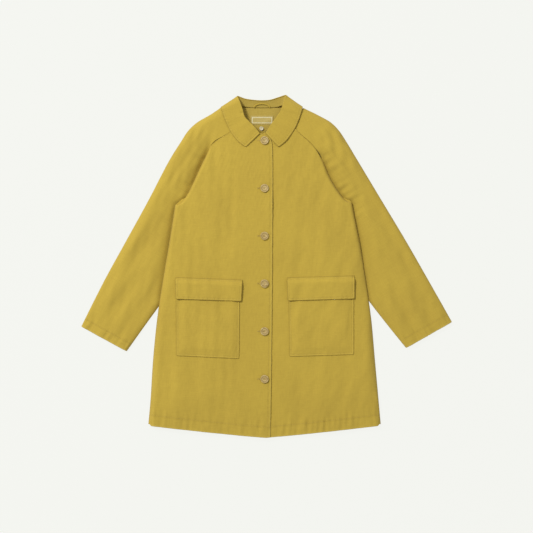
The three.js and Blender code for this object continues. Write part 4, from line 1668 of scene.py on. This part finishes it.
@dataclass
class Pocket:
    """A patch pocket sewn on three sides, and the flap sewn above its mouth."""

    side: Side
    lie: Lie = field(default_factory=Lie)
    thick: float = 1.3
    swell: float = 2.3
    mouth: float = 9.0
    stitch_in: float = 4.5
    corner: float = 3.5
    gap: float = 0.35  # between the patch and the front
    flap_thick: float = 2.0
    flap_root: float = 1.9  # how high the flap lies over the front where it is sewn on
    flap_clear: float = 1.2  # how far the flap clears the swollen patch
    flap_stitch: float = 4.0
    sewing: Sewing = Sewing(3.3, 2.5, 0.72, 0.4)

    def corners(self) -> tuple[Array, Array]:
        """Corners of the patch and of the flap: upper outer, upper inner, lower inner, lower outer."""
        if self.side is Side.RIGHT:
            patch = [(-247.5, -33), (-72, -40), (-74, -253.5), (-246.5, -245.5)]
            flap = [(-248.5, -31), (-64.6, -37.8), (-68.0, -95.5), (-247.5, -89.5)]
        else:
            patch = [(241.2, -30), (62.0, -35), (64.5, -248), (241, -242.5)]
            flap = [(243.0, -26.5), (58.2, -31.4), (60.0, -94.5), (242.8, -88.8)]
        return np.array(patch, float), np.array(flap, float)

    def grid(self, corners: Array, start: float) -> tuple[Array, Array, Array, Array]:
        """A four-cornered sheet in plan: straight lines both ways, its lower corners rounded off.

        Args:
            corners: Its corners.
            start: How far below the upper edge it begins.

        Returns:
            Plan points, and distances from the two sides, from the top and from the bottom.
        """
        upper, lower = corners[1] - corners[0], corners[2] - corners[3]
        width, height = float(np.linalg.norm(upper)), float(np.linalg.norm(corners[3] - corners[0]))
        p = graded(width, 3.2, 0.8, 0.8)
        q = start + graded(height - start, 3.2, 0.9, 0.8)[:, None]
        a = np.clip(1 - np.minimum(p, width - p) / self.corner, 0, 1)
        b = np.clip(1 - (height - q) / self.corner, 0, 1)
        p2 = p + np.where(p < width / 2, 1, -1) * (a - a * np.sqrt(1 - b * b / 2)) * self.corner
        q2 = q - (b - b * np.sqrt(1 - a * a / 2)) * self.corner
        s, t = (p2 / width)[..., None], (q2 / height)[..., None]
        plan = (corners[0] + upper * s) * (1 - t) + (corners[3] + lower * s) * t
        shape = plan.shape[:2]
        sides = np.broadcast_to(np.minimum(p, width - p), shape)
        return plan, sides, np.broadcast_to(q - start, shape), np.broadcast_to(height - q, shape)

    def _face(self, grid: Array) -> Array:
        """Columns in the order that makes faces point up."""
        return grid[:, ::-1] if self.side is Side.RIGHT else grid

    def build_patch(self, finishes: Finishes) -> bpy.types.Object:
        """Makes the patch.

        Args:
            finishes: The coat's materials.

        Returns:
            The patch.
        """
        plan, sides, from_top, from_bottom = self.grid(self.corners()[0], self.mouth)
        x, y = plan[..., 0], plan[..., 1]
        sewn = np.minimum(sides, from_bottom)
        z = self.lie.crown(x, y, self.side) + self.thick + self.gap + self.swell * smooth(sewn, 3.5, 26)
        z += 0.35 * ripple(x, y, 48, 70, 81 + self.side.value) * smooth(sewn, 4, 24)
        z += Pucker(0.15, 10, 7).at(x + y, sewn - self.stitch_in, 83)
        lines = bump(sewn - self.stitch_in, 1.2)
        z -= 0.42 * lines
        grid = np.dstack([plan, z])
        # Rubbed pale ridge, with shade painted darker on the rim and along the stitch grooves.
        wear = np.clip(rim_wear(sewn) - 0.4 * lines, -1, 1)
        cloth = Cloth()
        cloth.slab(self._face(grid), self.thick, self._face(plan), self._face(wear))
        for path in self._stitch_paths(grid, sides, from_top, from_bottom):
            cloth.stitch(path + (0, 0, 0.12), self.sewing)
        word = self.side.word
        piece = cloth.write(f"{word}_pocket_cloth", finishes.sewn)
        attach(piece, "shell")
        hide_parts(f"{word}_pocket")
        return piece

    def _stitch_paths(self, grid: Array, sides: Array, from_top: Array, from_bottom: Array) -> list[Array]:
        """Grid lines that lie one stitch margin inside the sewn edges.

        Args:
            grid: The sheet's points.
            sides: Distance from the nearer side.
            from_top: Distance from the upper edge.
            from_bottom: Distance from the lower edge.

        Returns:
            The paths.
        """
        columns = np.nonzero(sides[0] >= self.stitch_in - 0.2)[0]
        row = int(np.argmin(np.abs(from_bottom[:, 0] - self.stitch_in)))
        first = int(np.argmin(np.abs(from_top[:, 0] - 2)))
        left, right = columns[0], columns[-1]
        return [grid[first : row + 1, left], grid[row, left : right + 1], grid[first : row + 1, right]]

    def build_flap(self, finishes: Finishes) -> bpy.types.Object:
        """Makes the flap.

        Args:
            finishes: The coat's materials.

        Returns:
            The flap.
        """
        plan, sides, from_top, from_bottom = self.grid(self.corners()[1], 0.0)
        x, y = plan[..., 0], plan[..., 1]
        root = self.flap_root
        lifted = self.thick + self.gap + self.swell + self.flap_thick + self.flap_clear
        z = self.lie.crown(x, y, self.side) + root + (lifted - root) * smooth(from_top, 0.0, 17.0)
        free = smooth(from_top, 14, 30)
        z -= 0.9 * (1 - smooth(sides, 0, 14)) * free
        puckers = Pucker(0.2, 11, 9).at(x, from_bottom - 5, 86)
        z += free * (0.45 * ripple(x, y, 60, 120, 85 + self.side.value) + puckers)
        lines = bump(np.minimum(sides, from_bottom) - self.stitch_in, 1.2)
        lines = lines + bump(from_top - self.flap_stitch, 1.2)
        z -= 0.34 * lines
        grid = np.dstack([plan, z])
        edge = np.minimum(np.minimum(sides, from_bottom), from_top)
        # Rubbed pale ridge, with shade painted darker on the rim and along the stitch grooves.
        wear = np.clip(rim_wear(edge) - 0.35 * lines, -1, 1)
        cloth = Cloth()
        cloth.slab(self._face(grid), self.flap_thick, self._face(plan), self._face(wear))
        for path in self._stitch_paths(grid, sides, from_top, from_bottom):
            cloth.stitch(path + (0, 0, 0.12), self.sewing)
        top_row = int(np.argmin(np.abs(from_top[:, 0] - self.flap_stitch)))
        cloth.stitch(grid[top_row, 3:-3] + (0, 0, 0.12), self.sewing)
        word = self.side.word
        piece = cloth.write(f"{word}_pocket_flap_cloth", finishes.sewn)
        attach(piece, f"{word}_flap")
        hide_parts(f"{word}_pocket_flap")
        return piece


# ---------------------------------------------------------------------------------------------------------
# Buttons, label and loop
# ---------------------------------------------------------------------------------------------------------


@dataclass
class Button:
    """A four-hole button turned from a rimmed blank, with its stitches."""

    node: str
    body: str
    slot: str
    hole: float = 0.95
    ring: float = 2.4
    face_rings: int = 34

    def disc(self, radius: float, height: float) -> Array:
        """Rings of a turned disc: a rounded rim, a dished face, and four pits where the holes are.

        Args:
            radius: Outer radius.
            height: Height from the back to the top of the rim.

        Returns:
            Points of the rings from the middle of the face, round the rim, to the middle of the back.
        """
        profile = curve(
            ((0.02, 0.62), (0.3, 0.61), (0.55, 0.64), (0.68, 0.76), (0.80, 0.97), (0.88, 1.0), (0.96, 0.86),
             (1.0, 0.6), (0.97, 0.34), (0.82, 0.06), (0.6, 0.0), (0.3, 0.0), (0.02, 0.0)), 400,
        )
        profile = np.concatenate([np.linspace(profile[0], profile[150], self.face_rings), profile[156::7]])
        turn = np.linspace(0, 2 * np.pi, 72, endpoint=False)
        r, z = profile[:, 0] * radius, profile[:, 1] * height
        x, y = r[:, None] * np.cos(turn), r[:, None] * np.sin(turn)
        face = np.zeros(len(r))[:, None]
        for k in range(4):
            a = math.pi / 4 + k * math.pi / 2
            near = np.hypot(x - self.ring * math.cos(a), y - self.ring * math.sin(a))
            face = face + (1 - smooth(near, self.hole * 0.75, self.hole * 1.15))
        is_face = (np.arange(len(r)) < self.face_rings)[:, None]
        z = z[:, None] - np.where(is_face, face, 0) * height * 0.42
        return np.stack([x, y, z], axis=2)

    def build(self, shell: bpy.types.Material, thread: bpy.types.Material) -> bpy.types.Object:
        """Makes the button.

        Args:
            shell: Material of the button.
            thread: Material of the stitches.

        Returns:
            The button.
        """
        low, high = Frame.low(self.node), Frame.high(self.node)
        centre, radius = (low + high) / 2, (high[0] - low[0]) / 2
        rings = self.disc(radius, high[2] - low[2])
        out = np.hypot(rings[..., 0], rings[..., 1]) / radius
        # Painted shade: the dish groove round the holes and the rim's outer side are coloured darker.
        groove = -bump(out - 0.66, 0.09) - 0.9 * smooth(out, 0.94, 0.99)
        rings = rings + (centre[0], centre[1], low[2])
        cloth = Cloth()
        cloth.column(rings, rings.reshape(-1, 3)[:, :2], groove.ravel(), flip=True)
        self._sew(cloth, centre, low[2] + (high[2] - low[2]) * 0.62)
        piece = cloth.write(f"{self.node}_shell", (shell, thread))
        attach(piece, self.body)
        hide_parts(self.node)
        return piece

    def _sew(self, cloth: Cloth, centre: Array, face: float) -> None:
        """Two pairs of parallel threads over the bridge between the holes.

        Args:
            cloth: The button.
            centre: Its middle.
            face: Height of its face.
        """
        reach = self.ring * math.sin(math.pi / 4)
        single = Sewing(4 * reach, 2 * reach + 0.9, 0.62, 0.36)  # one stitch to a path
        for y in (-reach, reach):
            for shift in (-0.33, 0.33):
                path = np.array([(-reach * 2, y + shift, 0.22), (reach * 2, y + shift, 0.22)])
                cloth.stitch(path + (centre[0], centre[1], face), single)


@dataclass
class Shank:
    """The wound thread between a button and the cloth."""

    node: str
    turns: float = 5.0
    sides: int = 20

    def build(self, thread: bpy.types.Material) -> bpy.types.Object:
        """Makes the shank: a column whose radius waves with the turns of thread.

        Args:
            thread: Material of the thread.

        Returns:
            The shank.
        """
        low, high = Frame.low(self.node), Frame.high(self.node)
        centre, radius = (low + high) / 2, (high[0] - low[0]) / 2
        turn = np.linspace(0, 2 * np.pi, self.sides, endpoint=False)
        t = np.linspace(0, 1, 30)[:, None]
        r = radius * (0.9 + 0.1 * np.sin(2 * np.pi * self.turns * t + turn))
        tip = np.full((1, self.sides), 0.02)
        r = np.concatenate([tip, r, tip])
        t = np.concatenate([[[0.0]], t, [[1.0]]])
        z = low[2] + (high[2] - low[2]) * t + 0 * turn
        rings = np.stack([centre[0] + r * np.cos(turn), centre[1] + r * np.sin(turn), z], axis=2)
        cloth = Cloth()
        cloth.column(rings, rings.reshape(-1, 3)[:, :2], np.zeros(rings.size // 3))
        piece = cloth.write(f"{self.node}_wound", (thread, thread))
        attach(piece, "shell")
        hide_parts(self.node)
        return piece


@dataclass
class NeckLabel:
    """The blank woven label, its ends folded under and stitched down all round."""

    node: str = "neck_label"

    def build(self, finishes: Finishes) -> bpy.types.Object:
        """Makes the label.

        Args:
            finishes: The coat's materials.

        Returns:
            The label.
        """
        low, high = Frame.low(self.node), Frame.high(self.node)
        centre, half = (low + high) / 2, (high - low) / 2
        s = graded(1.0, 0.03, 0.012, 0.012) * 2 - 1
        t = (graded(1.0, 0.06, 0.03, 0.03) * 2 - 1)[:, None]
        x, y = centre[0] + half[0] * s + 0 * t, centre[1] + half[1] * t + 0 * s
        edge = np.minimum((1 - np.abs(s)) * half[0], (1 - np.abs(t)) * half[1])
        z = high[2] + 0.25 * smooth(edge, 0.5, 6) + 0.1 * ripple(x, y, 24, 18, 91)
        grid = np.stack([x, y, z], axis=2)
        cloth = Cloth()
        cloth.slab(grid, high[2] - low[2] - 0.1, grid[..., :2], np.zeros(grid.shape[:2]))
        inset = 2
        ring = np.concatenate(
            [
                grid[inset, inset:-inset],
                grid[inset + 1 : -inset, -inset - 1],
                grid[-inset - 1, -inset - 2 : inset : -1],
                grid[-inset - 2 : inset : -1, inset],
            ]
        )
        cloth.stitch(ring + (0, 0, 0.1), Sewing(2.6, 1.9, 0.5, 0.3))
        tape = WovenLabel().make(centre, half[:2])
        piece = cloth.write("neck_label_tape", (tape, finishes.thread))
        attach(piece, "shell")
        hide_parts(self.node)
        return piece


@dataclass
class HangerLoop:
    """A narrow sewn band, bowed up from the neck seam for a coat hook."""

    node: str = "hanger_loop"
    half_width: float = 2.3
    half_thick: float = 1.0
    slope: float = 0.33  # rise of the stand under the loop
    sides: int = 18
    steps: int = 70

    def build(self, finishes: Finishes) -> bpy.types.Object:
        """Makes the loop: an oval section carried along a half ellipse that lies on the stand.

        Args:
            finishes: The coat's materials.

        Returns:
            The loop.
        """
        low, high = Frame.low(self.node), Frame.high(self.node)
        centre = (low[0] + high[0]) / 2
        reach, rise = (high[0] - low[0]) / 2 - self.half_width, high[1] - low[1] - self.half_width
        angle = np.linspace(0, np.pi, self.steps)
        path = np.stack(
            [centre - reach * np.cos(angle), low[1] - 1.0 + (rise + 1.0) * np.sin(angle), 0 * angle], axis=1
        )
        path[:, 2] = low[2] + 2.2 + self.slope * (path[:, 1] - low[1])
        way = np.gradient(path, axis=0)
        way /= np.linalg.norm(way, axis=1, keepdims=True)
        up = np.array([0.0, -0.31, 0.95])
        out = np.cross(way, up)
        turn = -np.linspace(0, 2 * np.pi, self.sides, endpoint=False)
        section = np.concatenate([[0.05], np.ones(self.steps - 2), [0.05]])[:, None]
        rings = (
            path[:, None]
            + out[:, None] * (section * np.cos(turn) * self.half_width)[..., None]
            + np.cross(out, way)[:, None] * (section * np.sin(turn) * self.half_thick)[..., None]
        )
        far = np.repeat(lengths(path), self.sides)
        grain = np.stack([np.tile(turn * self.half_width, self.steps), far], axis=1)
        cloth = Cloth()
        cloth.column(rings, grain, np.zeros(len(grain)))
        piece = cloth.write("hanger_loop_band", finishes.sewn)
        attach(piece, "loop")
        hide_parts(self.node)
        return piece


# ---------------------------------------------------------------------------------------------------------
# The studio
# ---------------------------------------------------------------------------------------------------------


@dataclass
class Studio:
    """A lit paper ground, one broad soft light, even fill, and a camera straight above."""

    lens: float = 85.0
    frame_width: float = 1466.0
    aim: tuple[float, float] = (1.4, -0.7)
    key: float = 243.0
    fill: float = 0.5
    softbox: float = 1.2  # metres across
    lamp: tuple[float, float, float] = (-2.7, 2.6, 4.2)  # metres
    sensor: float = 36.0
    ground: float = -0.3

    def build(self) -> None:
        """Makes the ground, the lights and the camera."""
        corners = [(x * MM, y * MM, self.ground * MM) for y in (-FLOOR, FLOOR) for x in (-FLOOR, FLOOR)]
        mesh = bpy.data.meshes.new("ground")
        mesh.from_pydata(corners, [], [(0, 1, 3, 2)])
        mesh.materials.append(StudioGround().make())
        ground = bpy.data.objects.new("ground", mesh)
        bpy.context.scene.collection.objects.link(ground)
        scene = bpy.context.scene
        scene.view_settings.view_transform = "Standard"
        world = bpy.data.worlds.new("studio")
        scene.world = world
        world.use_nodes = True
        backdrop = world.node_tree.nodes["Background"]
        backdrop.inputs["Color"].default_value = (1.0, 1.0, 1.0, 1.0)
        backdrop.inputs["Strength"].default_value = self.fill
        light = bpy.data.lights.new("softbox", "AREA")
        light.shape, light.energy = "RECTANGLE", self.key
        light.size = light.size_y = self.softbox
        lamp = bpy.data.objects.new("softbox", light)
        lamp.location = self.lamp
        lamp.rotation_mode = "QUATERNION"
        lamp.rotation_quaternion = (-lamp.location).to_track_quat("-Z", "Y")
        scene.collection.objects.link(lamp)
        data = bpy.data.cameras.new("camera")
        data.lens, data.sensor_width = self.lens, self.sensor
        data.clip_start, data.clip_end = 0.05, 50.0
        camera = bpy.data.objects.new("camera", data)
        height = self.frame_width * MM / data.sensor_width * self.lens
        camera.location = (self.aim[0] * MM, self.aim[1] * MM, height + 0.02)
        scene.collection.objects.link(camera)
        scene.camera = camera


def main() -> None:
    """Builds the coat piece by piece."""
    logging.basicConfig(level=logging.INFO, format="%(name)s: %(message)s", stream=sys.stdout)
    frame = Frame.load()
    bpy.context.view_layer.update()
    Studio().build()
    finishes = Finishes.make()
    back = BackPanel(frame)
    pieces = [back.build(finishes), back.build_facing(finishes)]
    for side in Side:
        front = FrontPanel(side, frame)
        pieces += [front.build(finishes), front.build_facing(finishes), Sleeve(side, frame).build(finishes)]
        pocket = Pocket(side)
        pieces += [pocket.build_patch(finishes), pocket.build_flap(finishes)]
    pieces += Collar(frame).build(finishes)
    pieces += [HangerLoop().build(finishes), NeckLabel().build(finishes)]
    for number in range(1, 7):
        node = f"button_{number}"
        pieces.append(Shank(f"{node}_thread").build(finishes.thread))
        pieces.append(Button(node, f"{node}_body", "button_horn").build(finishes.button, finishes.thread))
    pieces.append(Shank("spare_button_thread", 2.0).build(finishes.thread))
    spare = Button("spare_button", "shell", "spare_button_shell", 0.6, 1.5)
    pieces.append(spare.build(finishes.spare, finishes.thread))
    for piece in pieces:
        LOG.info("%s: %d faces", piece.name, len(piece.data.polygons))


if __name__ == "__main__":
    main()
